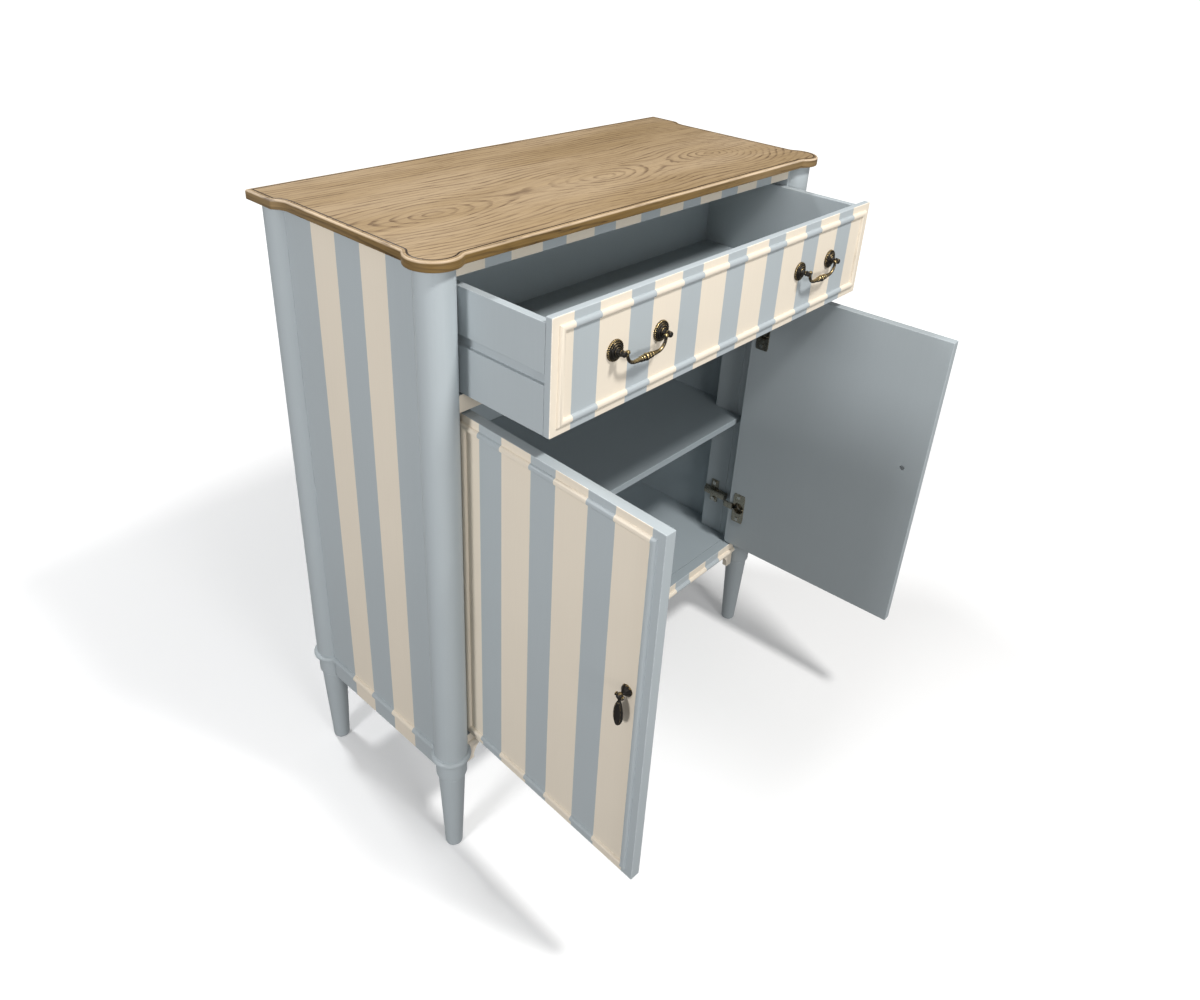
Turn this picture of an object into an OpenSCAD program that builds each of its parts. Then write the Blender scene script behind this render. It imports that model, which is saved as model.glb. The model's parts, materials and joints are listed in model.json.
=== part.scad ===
// Striped side cabinet: one drawer over two inset doors, on four turned legs.
// Millimetres. +X runs to the right along the front, +Y to the back, +Z up.
// The origin is on the floor, midway between the sides, in the front plane of the rails.
// The drawer is drawn part way out and both doors open, and each moves on its own guide or pivot.

/* [Overall] */
// Width of the top over its rounded corners
top_w = 800; // [660:10:980]
// Depth of the top from its rounded front corners to its back edge
top_d = 359; // [300:2:440]
// Height of the top surface above the floor
height = 956; // [820:2:1160]

/* [Top] */
// Thickness of the top
top_t = 13; // [10:1:24]
// How far the rounded corners of the top stand out past the posts
lobe_over = 10; // [4:1:16]
// How far the straight side edges lie inside the rounded corners
edge_in = 10; // [4:1:14]
// How far the straight front edge stands out past the rails
front_over = 20; // [12:1:24]
// Radius of the hollow curve beside each rounded front corner
lobe_cove = 10; // [4:1:14]
// Length of the widened part of each side edge at the back
back_lobe_l = 60; // [44:1:80]
// Radius of its rounded corner
back_lobe_r = 6; // [4:1:9]
// Radius of the hollow curve from there back to the side edge
back_lobe_cove = 30; // [12:1:36]

/* [Posts and legs] */
// Radius of the round face of each corner post
post_r = 24; // [20:1:30]
// How far the post axis lies behind the front plane
post_back = 6; // [3:1:10]
// How far the side panels lie inside the posts' outermost line
side_in = 13; // [9:1:16]
// How far the posts reach in to the opening past their round part
stile_in = 2; // [1:1:12]
// Depth of the square inner part of each front post
stile_d = 36; // [30:1:60]
// Height of the legs under the posts
leg_h = 187; // [120:1:260]
// Radius of the leg collar
collar_r = 22.5; // [16:0.5:24]
// Height of the leg collar
collar_h = 32; // [20:1:80]
// Radius of the leg just under the collar groove
leg_r = 19.5; // [14:0.5:22]
// Radius of the foot
foot_r = 13; // [9:0.5:18]
// Radius of the leg bolts
leg_bolt_r = 4; // [3:0.5:5]
// Length of the leg bolts
leg_bolt_l = 60; // [40:2:90]

/* [Case] */
// Thickness of the side panels
side_t = 12; // [9:1:18]
// Thickness of the rails from front to back
rail_t = 20; // [16:1:26]
// Thickness of the back panel
back_t = 5; // [3:1:9]
// Thickness of the bottom panel
bottom_t = 15; // [10:1:20]
// Height of the top rail
top_rail_h = 21; // [20:1:40]
// Height of the drawer opening
drawer_open_h = 148; // [110:1:200]
// Height of the rail under the drawer
mid_rail_h = 24; // [16:1:40]
// Height of the rail under the doors
bottom_rail_h = 24; // [18:1:40]
// Radius of the half-round bead round the base
bead_r = 5; // [3:0.5:5]
// How far the side panels reach down below the bead
apron_h = 32; // [20:1:60]
// Width of each curved bracket beside the front legs
bracket_w = 44; // [30:1:80]
// Height of each curved bracket
bracket_h = 34; // [20:1:50]

/* [Shelf and battens] */
// Thickness of the shelf
shelf_t = 12; // [9:1:20]
// Height of the shelf top above the bottom panel
shelf_up = 269; // [150:1:350]
// How far the shelf's front edge lies behind the front plane
shelf_back = 24; // [20:1:60]
// Width of the hinge battens from front to back
batten_w = 46; // [44:1:70]
// Radius of the shelf pins
pin_r = 2.5; // [2:0.5:4]
// Length of a shelf pin, part in the panel and part under the shelf
pin_l = 20; // [14:1:26]

/* [Drawer] */
// How far the drawer stands open
drawer_out = 147; // [0:1:190]
// Thickness of the drawer front
drawer_front_t = 10; // [9:1:14]
// Gap all round between a drawer or door and its opening
front_gap = 2.5; // [1.5:0.5:4]
// Thickness of the drawer sides and back
drawer_side_t = 11; // [9:1:16]
// Length of the drawer sides from front to back
drawer_l = 284; // [220:1:284]
// How far the drawer sides stop below the top of the front
side_drop = 8; // [2:1:24]
// Thickness of the drawer bottom
drawer_bottom_t = 4; // [3:1:8]
// Height of the drawer bottom above the lower edge of the sides
bottom_up = 8; // [5:1:20]
// Height of the runner grooves in the drawer sides
groove_h = 13; // [10:1:20]
// Depth of the runner grooves
groove_d = 5; // [4:1:6]
// Height of the groove's middle above the lower edge of the sides
groove_up = 68; // [40:1:80]
// Height of the runners
runner_h = 12; // [9:0.5:12]

/* [Doors] */
// Thickness of the doors
door_t = 15; // [15:1:20]
// Gap beside each hinge edge
hinge_gap = 2.3; // [2.2:0.1:4]
// Gap between the two doors when shut
middle_gap = 3; // [2:0.5:5]
// Angle that the left door stands open
left_open = 92.2; // [0:0.1:100]
// Angle that the right door stands open
right_open = 92.6; // [0:0.1:100]
// Radius of the rounded lower corner at the hinge edge
door_corner_r = 7; // [2:1:12]

/* [Mouldings] */
// How far the moulding frame lies in from the edges
frame_in = 10.5; // [6:0.5:20]
// Width of the moulding
frame_w = 9; // [6:0.5:14]
// How far the moulding stands out
frame_out = 3.8; // [2:0.1:4]

/* [Hinges] */
// Distance of the pivot from the door's hinge edge
pivot_in = 7.7; // [7.7:0.1:9]
// Distance of the pivot behind the door's front face
pivot_back = 5.4; // [5.4:0.1:6]
// Distance of each hinge from the nearest door end
hinge_end = 86; // [60:1:120]
// Outer radius of the hinge cup
cup_r = 17.5; // [17:0.5:18]
// Distance of the cup's centre from the hinge edge
cup_in = 20.9; // [20.9:0.1:21.5]
// Length of the cup's flange
flange_l = 62; // [56:1:66]
// Width of the cup's flange
flange_w = 24; // [20:1:30]
// Spacing of the flange screws
flange_screws = 48; // [46:1:52]
// Radius of the pivot pins
pivot_r = 1.1; // [1:0.05:1.2]
// Height of the hinge arms
arm_h = 12; // [10:1:12]

/* [Pulls] */
// Spacing of the two posts of a drawer pull
pull_pitch = 82; // [64:1:128]
// Distance of each drawer pull from the middle of the front
pull_side = 196; // [120:1:230]
// Height of the drawer pulls above the middle of the front
pull_up = 5; // [-10:1:20]
// Radius of the drawer pull rosettes
rosette_r = 13.5; // [10:0.5:16]
// Distance of the bail's pivot from the drawer front
bail_out = 14; // [13:0.5:20]
// Drop of the bail below its pivot
bail_drop = 16; // [14:0.5:24]
// Radius of the bail's rod
bail_r = 2.4; // [2:0.1:3]
// Distance of the drop pulls from the edge where the doors meet
drop_side = 33.2; // [26.2:1:136.2]
// Height of the door pulls above the lower door edge
drop_up = 302; // [150:1:420]
// Radius of the round base of a door pull
base_r = 8; // [6:0.5:12]
// Distance of the drop's pivot from the door
drop_out = 12.5; // [12:0.5:18]
// Radius of the ball that the drop is pinned to
ball_r = 4.2; // [3.8:0.1:5]
// Length of the drop under its fork
drop_l = 39; // [30:1:60]
// Half width of the drop
drop_r = 7; // [6:0.5:9]
// Thickness of the drop
drop_t = 5; // [3:0.5:6]

/* [Clearances] */
// Running clearance of the pins and the bail ends, on the radius
run_fit = 0.06; // [0.03:0.01:0.1]
// Room round a screw, bolt or shelf pin, on the radius
screw_fit = 0.1; // [0.05:0.05:0.3]
// Rest gap between a drawer groove and its runner
slide_fit = 0.3; // [0.2:0.1:0.5]
// Room where one case piece is let in round another
seat_fit = 0.1; // [0.05:0.05:0.3]

/* [Hidden] */
$fn = 48;
over = 1;           // how far a cutting tool reaches past what it cuts
seam = 0.05;        // gap at the mitres of the beads and mouldings
ease = 0.5;         // room left round hidden pieces of the case
end_in = 40;        // distance of the outer screws of a cleat or runner from its ends
blue = [0.66, 0.71, 0.75];
cream = [0.92, 0.87, 0.80];
inside_blue = [0.45, 0.49, 0.51];
oak = [0.74, 0.64, 0.50];
brass = [0.42, 0.35, 0.22];
steel = [0.50, 0.48, 0.44];

// Plan of the case
lobe_r = post_r + lobe_over;
axis_x = top_w / 2 - lobe_r;
axis_front = post_back;
back_y = top_d - (lobe_r - post_back);
axis_back = back_y - post_r - ease;
edge_x = top_w / 2 - edge_in;
side_x = axis_x + post_r - side_in;
inner_x = side_x - side_t;
open_x = axis_x - post_r - stile_in;
back_in = axis_back + 13.5;
back_stile_y = axis_back - post_r;

// Heights
top_z = height - top_t;
bead_h = 2 * bead_r;
bead_z = leg_h;
apron_z = leg_h - apron_h;
bottom_z = leg_h + bottom_rail_h;
rail_z = top_z - top_rail_h;
mid_top_z = rail_z - drawer_open_h;
mid_z = mid_top_z - mid_rail_h;
shelf_z = bottom_z + shelf_up;

// Drawer, in its shut place
drawer_z = mid_top_z + front_gap;
drawer_h = drawer_open_h - 2 * front_gap;
drawer_x = open_x - front_gap + 0.2;
box_x = open_x - front_gap;
box_z = drawer_z + 0.5;
box_top_z = drawer_z + drawer_h - side_drop;
box_back_y = drawer_front_t + drawer_l;
floor_z = box_z + bottom_up;
groove_z = box_z + groove_up;
runner_top_z = groove_z + groove_h / 2 - slide_fit;
runner_x = box_x - groove_d + 2 * slide_fit;

// Doors, in their shut place. u is measured from the opening's edge towards the middle.
door_z = bottom_z + front_gap;
door_h = mid_z - front_gap - door_z;
door_w = open_x - hinge_gap - middle_gap / 2;
pivot_u = hinge_gap + pivot_in;
pivot_x = open_x - pivot_u;
cup_u = hinge_gap + cup_in;
cup_wall = 0.8;
cup_floor_v = 2.5;   // wood left between a hinge cup and the face of the door
cup_depth = door_t - cup_floor_v;
cup_floor_t = 0.6;
flange_t = 1.2;
barrel_r = 2;
notch_h = arm_h + 0.8;
hinge_zs = [door_z + hinge_end, door_z + door_h - hinge_end];
batten_y = stile_d;
plate_v = stile_d + 24;

// Pulls
pull_z = drawer_z + drawer_h / 2 + pull_up;
bail_pin_r = 1.5;
bail_corner = bail_drop - 2;
post_head_r = 3.8;
drop_x = middle_gap / 2 + drop_side;
drop_z = door_z + drop_up;
neck_r = 2.4;
drop_pin_r = 1.3;
screw_r = 2;
head_r = 4;
head_t = 2.4;

// Fills the corner between a circle of radius r at the origin and the line x = d with a hollow
// curve of radius f, on the +Y side. Both ends of the curve run on a little way into the solid.
module cove(d, r, f) {
    c = [d + f, sqrt(pow(r + f, 2) - pow(d + f, 2))];
    turn = atan2(c.y, c.x);
    steps = 8;
    into = 3;
    arc = [for (i = [1:steps]) c - f * [cos(turn - turn * i / steps), sin(turn - turn * i / steps)]];
    start = c * (r - into / 10) / (r + f);
    end = 2 * arc[steps - 1] - arc[steps - 2];
    polygon(concat([[d - into, start.y], start], arc, [end, [d - into, end.y]]));
}

// Draws its children once on the right and once, mirrored, on the left.
module both_sides() {
    children();
    mirror([1, 0, 0]) children();
}

module on_left() {
    mirror([1, 0, 0]) children();
}

// A round bar along Z from z0 to z1.
module bar(r, z0, z1) {
    translate([0, 0, z0]) cylinder(r = r, h = z1 - z0);
}

// A block between two opposite corners.
module block(low, high) {
    translate(low) cube(high - low);
}

// A wood screw along +Z: its head starts at z = 0 and its shank ends at z = length.
module screw(length) {
    bar(head_r, 0, head_t);
    bar(screw_r, head_t / 2, length);
}

// The room that a screw needs, open behind its head.
module screw_room(length) {
    bar(head_r + screw_fit, -over, head_t + screw_fit);
    bar(screw_r + screw_fit, head_t / 2, length + screw_fit);
}

// Widened corners of the top on the right: a round one in front and a square one at the back.
module top_corners() {
    corner = [top_w / 2 - back_lobe_r, back_y - back_lobe_l + back_lobe_r];
    translate([axis_x, axis_front, top_z]) {
        bar(lobe_r, 0, top_t);
        linear_extrude(top_t) cove(edge_x - axis_x, lobe_r, lobe_cove);
        linear_extrude(top_t) mirror([1, 1, 0]) cove(front_over + axis_front, lobe_r, lobe_cove);
    }
    block([axis_x, corner.y - back_lobe_r, top_z], [corner.x, back_y, height]);
    block([axis_x, corner.y, top_z], [top_w / 2, back_y, height]);
    translate([corner.x, corner.y, top_z]) {
        bar(back_lobe_r, 0, top_t);
        linear_extrude(top_t) mirror([0, 1, 0]) cove(edge_x - corner.x, back_lobe_r, back_lobe_cove);
    }
}

module top_panel() {
    color(oak) difference() {
        union() {
            block([-edge_x, -front_over, top_z], [edge_x, back_y, height]);
            both_sides() top_corners();
        }
        top_screw_rooms();
    }
}

module front_post() {
    color(blue) difference() {
        union() {
            translate([axis_x, axis_front]) bar(post_r, leg_h, top_z);
            block([open_x, 0, leg_h], [inner_x, stile_d, top_z]);
        }
        translate([axis_x, axis_front]) bar(leg_bolt_r + screw_fit, leg_h - over, leg_h + leg_bolt_l / 2);
    }
}

module back_post() {
    color(blue) difference() {
        union() {
            translate([axis_x, axis_back]) bar(post_r, leg_h, top_z);
            block([open_x, back_stile_y, leg_h], [inner_x, back_in, top_z]);
        }
        translate([axis_x, axis_back]) bar(leg_bolt_r + screw_fit, leg_h - over, leg_h + leg_bolt_l / 2);
    }
}

// The room that the round posts take from their neighbours.
module post_rooms() {
    for (y = [axis_front, axis_back]) translate([axis_x, y]) bar(post_r + seat_fit, 0, height);
}

module front_right_post() { front_post(); }
module front_left_post() { on_left() front_post(); }
module back_right_post() { back_post(); }
module back_left_post() { on_left() back_post(); }

module side_panel() {
    color(blue) difference() {
        block([inner_x, axis_front + post_r / 2, apron_z], [side_x, axis_back - post_r / 2, top_z]);
        post_rooms();
        shelf_pin_rooms();
        runner_screw_rooms();
    }
}

module right_side_panel() { side_panel(); }
module left_side_panel() { on_left() side_panel(); }

module back_panel() {
    color(inside_blue) difference() {
        block([-axis_x, back_in, leg_h], [axis_x, back_in + back_t, top_z]);
        both_sides() post_rooms();
    }
}

module rail(z0, z1) {
    block([-open_x, 0, z0], [open_x, rail_t, z1]);
}

module top_rail() { color(blue) rail(rail_z, top_z); }
module middle_rail() { color(blue) rail(mid_z, mid_top_z); }
module bottom_rail() { color(cream) rail(leg_h, bottom_z); }

module back_rail() {
    color(inside_blue) block([-open_x, back_in - rail_t, leg_h], [open_x, back_in, bottom_z - bottom_t]);
}

module bottom_panel() {
    color(inside_blue) translate([0, 0, bottom_z - bottom_t]) linear_extrude(bottom_t) {
        translate([-open_x, rail_t]) square([2 * open_x, back_in - rail_t]);
        translate([-inner_x, stile_d]) square([2 * inner_x, back_stile_y - stile_d]);
    }
}

// Half-round section of the bead, standing out from x = r.
module bead_section(r) {
    intersection() {
        translate([r, bead_r]) circle(bead_r);
        translate([r, 0]) square([bead_r, bead_h]);
    }
}

// Mitre between the bead round a post and the straight bead on a plane that lies at distance d
// from the post's axis. Seen from the axis, the plane's outer side is +X and the straight bead
// runs off to +Y. The block takes away what lies past the mitre, or before it.
module mitre(d, past) {
    a = [d, sqrt(pow(post_r, 2) - pow(d, 2))];
    b = [d + bead_r, sqrt(pow(post_r + bead_r, 2) - pow(d + bead_r, 2))];
    long = 4 * bead_r;
    translate(a) rotate(atan2(b.y - a.y, b.x - a.x)) translate([-bead_r, past ? -seam / 2 : seam / 2 - long,
        bead_z - over])
        cube([3 * bead_r, long, bead_h + 2 * over]);
}

// The bead round a post, from angle a0 to a1 seen from its axis.
module post_bead(a0, a1) {
    translate([0, 0, bead_z]) rotate(a0) rotate_extrude(angle = a1 - a0) bead_section(post_r);
}

side_off = side_x - axis_x;
side_turn = acos(side_off / post_r);
front_turn = acos(axis_front / post_r);
spare_turn = 4;     // how far the bead is turned past its mitre before it is cut
back_bead_turn = 60;

// Straight bead along a side panel and the bead round the back post.
module side_base_bead() {
    start = post_r * sin(side_turn) - over;
    color(blue) {
        difference() {
            translate([side_x, axis_front + start, bead_z]) rotate([90, 0, 180]) mirror([1, 0, 0])
                linear_extrude(axis_back - axis_front - 2 * start) bead_section(0);
            translate([axis_x, axis_front]) mitre(side_off, false);
            translate([axis_x, axis_back]) mirror([0, 1, 0]) mitre(side_off, false);
        }
        translate([axis_x, axis_back]) difference() {
            post_bead(-side_turn - spare_turn, back_bead_turn);
            mirror([0, 1, 0]) mitre(side_off, true);
        }
    }
}

module right_base_bead() { side_base_bead(); }
module left_base_bead() { on_left() side_base_bead(); }

// Straight bead along the front and the beads round both front posts.
module front_base_bead() {
    end = axis_x - post_r * sin(front_turn) + over;
    color(cream) {
        difference() {
            translate([-end, 0, bead_z]) rotate([90, 0, 90]) mirror([1, 0, 0])
                linear_extrude(2 * end) bead_section(0);
            both_sides() translate([axis_x, axis_front]) mirror([1, 1, 0]) mitre(axis_front, false);
        }
        both_sides() translate([axis_x, axis_front]) {
            difference() {
                post_bead(-90 - front_turn - spare_turn, -45);
                mirror([1, 1, 0]) mitre(axis_front, true);
            }
            difference() {
                post_bead(-45, side_turn + spare_turn);
                mitre(side_off, true);
            }
        }
    }
}

// Curved bracket under the bottom rail, beside a front leg.
module bracket() {
    color(cream) translate([open_x, rail_t / 2 + 2, leg_h]) rotate([90, 0, 0]) linear_extrude(rail_t / 2)
        difference() {
            translate([-bracket_w, -bracket_h]) square([bracket_w, bracket_h]);
            translate([-bracket_w, -bracket_h]) circle(bracket_h - 3);
            translate([-bracket_w - over, -bracket_h - over]) square([bracket_w - 14 + over, 6 + over]);
        }
}

module right_bracket() { bracket(); }
module left_bracket() { on_left() bracket(); }

// Shelf, let in round the posts and the battens.
module shelf() {
    x_in = open_x - ease;
    x_out = inner_x - ease;
    batten_end = batten_y + batten_w + ease;
    color(inside_blue) translate([0, 0, shelf_z - shelf_t]) linear_extrude(shelf_t) {
        translate([-x_in, shelf_back]) square([2 * x_in, back_in - 2 * ease - shelf_back]);
        translate([-x_out, batten_end]) square([2 * x_out, back_stile_y - ease - batten_end]);
    }
}

pin_from_end = 26;
pin_ys = [batten_y + batten_w + pin_from_end, back_stile_y - pin_from_end];
pin_in = side_t - 4;

module shelf_pins() {
    color(brass) both_sides() for (y = pin_ys)
        translate([inner_x + pin_in - pin_l, y, shelf_z - shelf_t - pin_r]) rotate([0, 90, 0])
            cylinder(r = pin_r, h = pin_l);
}

module shelf_pin_rooms() {
    for (y = pin_ys) translate([inner_x - over, y, shelf_z - shelf_t - pin_r]) rotate([0, 90, 0])
        cylinder(r = pin_r + screw_fit, h = pin_in + over + screw_fit);
}

module batten() {
    color(blue) difference() {
        block([open_x, batten_y, bottom_z], [inner_x, batten_y + batten_w, mid_top_z]);
        plate_screw_rooms();
    }
}

module right_batten() { batten(); }
module left_batten() { on_left() batten(); }

// Turned leg with its axis on Z.
module leg() {
    color(blue) difference() {
        rotate_extrude() polygon([[0, 0], [foot_r - 4, 0], [foot_r - 1.2, 1.2], [foot_r, 4],
            [leg_r, leg_h - collar_h - 3], [leg_r - 1, leg_h - collar_h - 1.5],
            [leg_r, leg_h - collar_h], [collar_r - 0.8, leg_h - collar_h + 1],
            [collar_r, leg_h - collar_h + 4], [collar_r, leg_h], [0, leg_h]]);
        bar(leg_bolt_r + screw_fit, leg_h - leg_bolt_l / 2, leg_h + over);
    }
}

module front_right_leg() { translate([axis_x, axis_front]) leg(); }
module front_left_leg() { translate([-axis_x, axis_front]) leg(); }
module back_right_leg() { translate([axis_x, axis_back]) leg(); }
module back_left_leg() { translate([-axis_x, axis_back]) leg(); }

module leg_bolts() {
    color(steel) both_sides() for (y = [axis_front, axis_back])
        translate([axis_x, y]) bar(leg_bolt_r, leg_h - leg_bolt_l / 2 + ease, leg_h + leg_bolt_l / 2 - ease);
}

// Runner on the side panel, reaching into the groove of the drawer side.
runner_ys = [stile_d + end_in, back_stile_y - end_in];

module runner() {
    color(oak) difference() {
        block([runner_x, stile_d, runner_top_z - runner_h], [inner_x, back_stile_y, runner_top_z]);
        runner_screw_rooms();
    }
}

// The screws that hold a runner, drilled from its inner face.
module runner_screw_rooms() {
    length = inner_x - runner_x + side_t - 3;
    for (y = runner_ys) translate([runner_x, y, runner_top_z - runner_h / 2]) rotate([0, 90, 0])
        screw_room(length);
}

module right_runner() { runner(); }
module left_runner() { on_left() runner(); }

module drawer_stops() {
    z0 = box_z + 10;
    stop_h = 30;
    color(oak) both_sides()
        block([box_x - drawer_side_t, box_back_y + ease, z0], [box_x, back_in, z0 + stop_h]);
}

// Cleats that hold the top on the side panels.
cleat = 18;
cleat_ys = [stile_d + end_in, back_stile_y - end_in];

module top_cleats() {
    color(oak) both_sides() difference() {
        block([inner_x - cleat, stile_d, top_z - cleat], [inner_x, back_stile_y, top_z]);
        for (y = cleat_ys) translate([inner_x - cleat / 2, y, top_z - cleat]) screw_room(cleat + top_t);
    }
}

module top_screw_rooms() {
    both_sides() for (y = cleat_ys) translate([inner_x - cleat / 2, y, top_z - cleat])
        bar(screw_r + screw_fit, cleat - over, cleat + top_t - 4);
}

// Screws of the top and of the runners.
module case_screws() {
    color(steel) both_sides() {
        for (y = cleat_ys) translate([inner_x - cleat / 2, y, top_z - cleat]) screw(cleat + top_t - 4.2);
        for (y = runner_ys) translate([runner_x, y, runner_top_z - runner_h / 2]) rotate([0, 90, 0])
            screw(inner_x - runner_x + side_t - 3.2);
    }
}

// Draws its children at both hinges of the right door, in u, v and z from each hinge's middle.
module at_hinges() {
    for (z = hinge_zs) translate([open_x, 0, z]) mirror([1, 0, 0]) children();
}

// A flat bar in plan between two points, with round ends.
module link(a, b, w) {
    d = b - a;
    translate(a) circle(w / 2);
    translate(b) circle(w / 2);
    translate(a) rotate(atan2(d.y, d.x)) translate([0, -w / 2]) square([norm(d), w]);
}

// One hinge arm: plate on the batten, arm, and the bent end that carries the pivot.
module hinge_arm() {
    knee = [cup_u - 0.7, pivot_back - 0.5];
    bend = [cup_u - 0.7, door_t + 6];
    root = [8, stile_d - 4];
    difference() {
        union() {
            translate([0, stile_d + 3, -6]) cube([2, 42, 12]);
            translate([0, plate_v - 8, -24]) cube([2, 16, 48]);
            translate([1, stile_d - 6, -arm_h / 2]) cube([9, 48, arm_h]);
            translate([0, 0, -arm_h / 2]) linear_extrude(arm_h) {
                translate([pivot_u, pivot_back]) circle(barrel_r);
                link([pivot_u, pivot_back], knee, 2.2);
                link(knee, bend, 2.6);
                link(bend, root, 2.6);
            }
        }
        translate([pivot_u, pivot_back]) bar(pivot_r + run_fit, -arm_h, arm_h);
        for (z = [-18, 18]) translate([0, plate_v, z]) rotate([0, 90, 0])
            cylinder(r = screw_r + screw_fit, h = 8, center = true);
    }
}

module hinge_arms() { color(steel) at_hinges() hinge_arm(); }
module right_hinge_arms() { hinge_arms(); }
module left_hinge_arms() { on_left() hinge_arms(); }

plate_screw_l = 18;

module plate_screws() {
    at_hinges() for (z = [-18, 18]) translate([2 + head_t, plate_v, z]) rotate([0, -90, 0])
        screw(plate_screw_l);
}

module plate_screw_rooms() {
    at_hinges() for (z = [-18, 18]) translate([2 + head_t, plate_v, z]) rotate([0, -90, 0])
        bar(screw_r + screw_fit, head_t, plate_screw_l + screw_fit);
}

module hinge_plate_screws() {
    color(steel) both_sides() plate_screws();
}

// Turns its children from the shut place to where the right or left door stands.
module right_door_place() {
    translate([pivot_x, pivot_back]) rotate(right_open) translate([-pivot_x, -pivot_back]) children();
}

module left_door_place() {
    translate([-pivot_x, pivot_back]) rotate(-left_open) translate([pivot_x, -pivot_back])
        mirror([1, 0, 0]) children();
}

cup_screw_l = 12;

module door_panel() {
    x1 = open_x - hinge_gap;
    color(blue) difference() {
        translate([0, door_t]) rotate([90, 0, 0]) linear_extrude(door_t) difference() {
            translate([x1 - door_w, door_z]) square([door_w, door_h]);
            translate([x1 - door_corner_r, door_z]) difference() {
                translate([0, -over]) square([door_corner_r + over, door_corner_r + over]);
                translate([0, door_corner_r]) circle(door_corner_r);
            }
        }
        at_hinges() {
            translate([cup_u, door_t + over]) rotate([90, 0, 0])
                cylinder(r = cup_r + seat_fit, h = door_t + over - cup_floor_v + seat_fit);
            hinge_notch();
            for (z = [-1, 1]) translate([cup_u, door_t + flange_t, z * flange_screws / 2])
                rotate([90, 0, 0]) bar(screw_r + screw_fit, 0, cup_screw_l);
        }
        translate([drop_x, 0, drop_z]) rotate([-90, 0, 0]) bar(screw_r + screw_fit, -over, door_t + over);
        translate([drop_x, door_t, drop_z]) rotate([90, 0, 0])
            bar(head_r + screw_fit, -over, head_t + screw_fit);
    }
}

// Slot that lets the arm pass over the door's hinge edge.
module hinge_notch() {
    translate([hinge_gap - over, pivot_back + barrel_r + 2, -notch_h / 2])
        cube([cup_in + over, door_t, notch_h]);
}

module right_door() { right_door_place() door_panel(); }
module left_door() { left_door_place() door_panel(); }

// One stick of moulding along +X with mitred ends, lying on y = 0 and standing out to -Y.
module moulding_stick(length) {
    r = (pow(frame_w / 2, 2) + pow(frame_out, 2)) / (2 * frame_out);
    difference() {
        translate([-length / 2, 0, frame_w / 2]) rotate([90, 0, 90]) linear_extrude(length)
            intersection() {
                translate([r - frame_out, 0]) circle(r);
                translate([-frame_out, -frame_w / 2]) square([frame_out, frame_w]);
            }
        both_sides() translate([length / 2, -2 * frame_out, 0]) rotate([0, -45, 0])
            translate([0, 0, -frame_w]) cube([3 * frame_w, 4 * frame_out, 4 * frame_w]);
    }
}

// A frame of four sticks with its outer corners at [x0, z0] and [x1, z1].
module moulding_frame(x0, z0, x1, z1) {
    xm = (x0 + x1) / 2;
    zm = (z0 + z1) / 2;
    translate([xm, 0, z0]) moulding_stick(x1 - x0 - seam);
    translate([xm, 0, z1]) rotate([0, 180, 0]) moulding_stick(x1 - x0 - seam);
    translate([x0, 0, zm]) rotate([0, 90, 0]) moulding_stick(z1 - z0 - seam);
    translate([x1, 0, zm]) rotate([0, -90, 0]) moulding_stick(z1 - z0 - seam);
}

module door_moulding() {
    x1 = open_x - hinge_gap - frame_in;
    color(cream) moulding_frame(x1 - door_w + 2 * frame_in, door_z + frame_in,
        x1, door_z + door_h - frame_in);
}

module right_door_moulding() { right_door_place() door_moulding(); }
module left_door_moulding() { left_door_place() door_moulding(); }

// Cup, flange and the two ears that hold the pin.
module hinge_cup() {
    difference() {
        union() {
            difference() {
                translate([cup_u, door_t]) rotate([90, 0, 0]) cylinder(r = cup_r, h = cup_depth);
                translate([cup_u, door_t + over]) rotate([90, 0, 0])
                    cylinder(r = cup_r - cup_wall, h = cup_depth + over - cup_floor_t);
            }
            difference() {
                union() {
                    translate([cup_u - flange_w / 2, door_t, -flange_l / 2])
                        cube([flange_w, flange_t, flange_l]);
                    translate([cup_u, door_t + flange_t]) rotate([90, 0, 0])
                        cylinder(r = cup_r + 1, h = flange_t);
                }
                translate([cup_u, door_t + flange_t + over]) rotate([90, 0, 0])
                    cylinder(r = cup_r - cup_wall, h = flange_t + 2 * over);
                for (z = [-1, 1]) translate([cup_u, door_t + flange_t, z * flange_screws / 2])
                    rotate([90, 0, 0]) bar(screw_r + screw_fit, -over, flange_t + over);
            }
            for (z = [-1, 1]) intersection() {
                translate([pivot_u - 1.2, pivot_back, z * (arm_h / 2 + 1.8)])
                    cube([7.2, 5, 2.8], center = true);
                translate([cup_u, door_t]) rotate([90, 0, 0]) cylinder(r = cup_r, h = cup_depth);
            }
        }
        hinge_notch();
        translate([pivot_u, pivot_back]) bar(pivot_r + 0.01, -arm_h, arm_h);
    }
}

module hinge_cups() { color(steel) at_hinges() hinge_cup(); }
module right_hinge_cups() { right_door_place() hinge_cups(); }
module left_hinge_cups() { left_door_place() hinge_cups(); }

module hinge_pins() {
    reach = arm_h / 2 + 3;
    color(steel) at_hinges() translate([pivot_u, pivot_back]) bar(pivot_r, -reach, reach);
}

module right_hinge_pins() { right_door_place() hinge_pins(); }
module left_hinge_pins() { left_door_place() hinge_pins(); }

// Screws of a door: two in each flange and one in the pull.
module door_screws() {
    color(steel) {
        at_hinges() for (z = [-1, 1]) translate([cup_u, door_t + flange_t, z * flange_screws / 2])
            rotate([90, 0, 0]) {
                bar(head_r - 0.5, -1, 0);
                bar(screw_r, -0.5, cup_screw_l - 0.3);
            }
        translate([drop_x, door_t, drop_z]) rotate([90, 0, 0]) screw(door_t + 4.6);
    }
}

module right_door_screws() { right_door_place() door_screws(); }
module left_door_screws() { left_door_place() door_screws(); }

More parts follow.
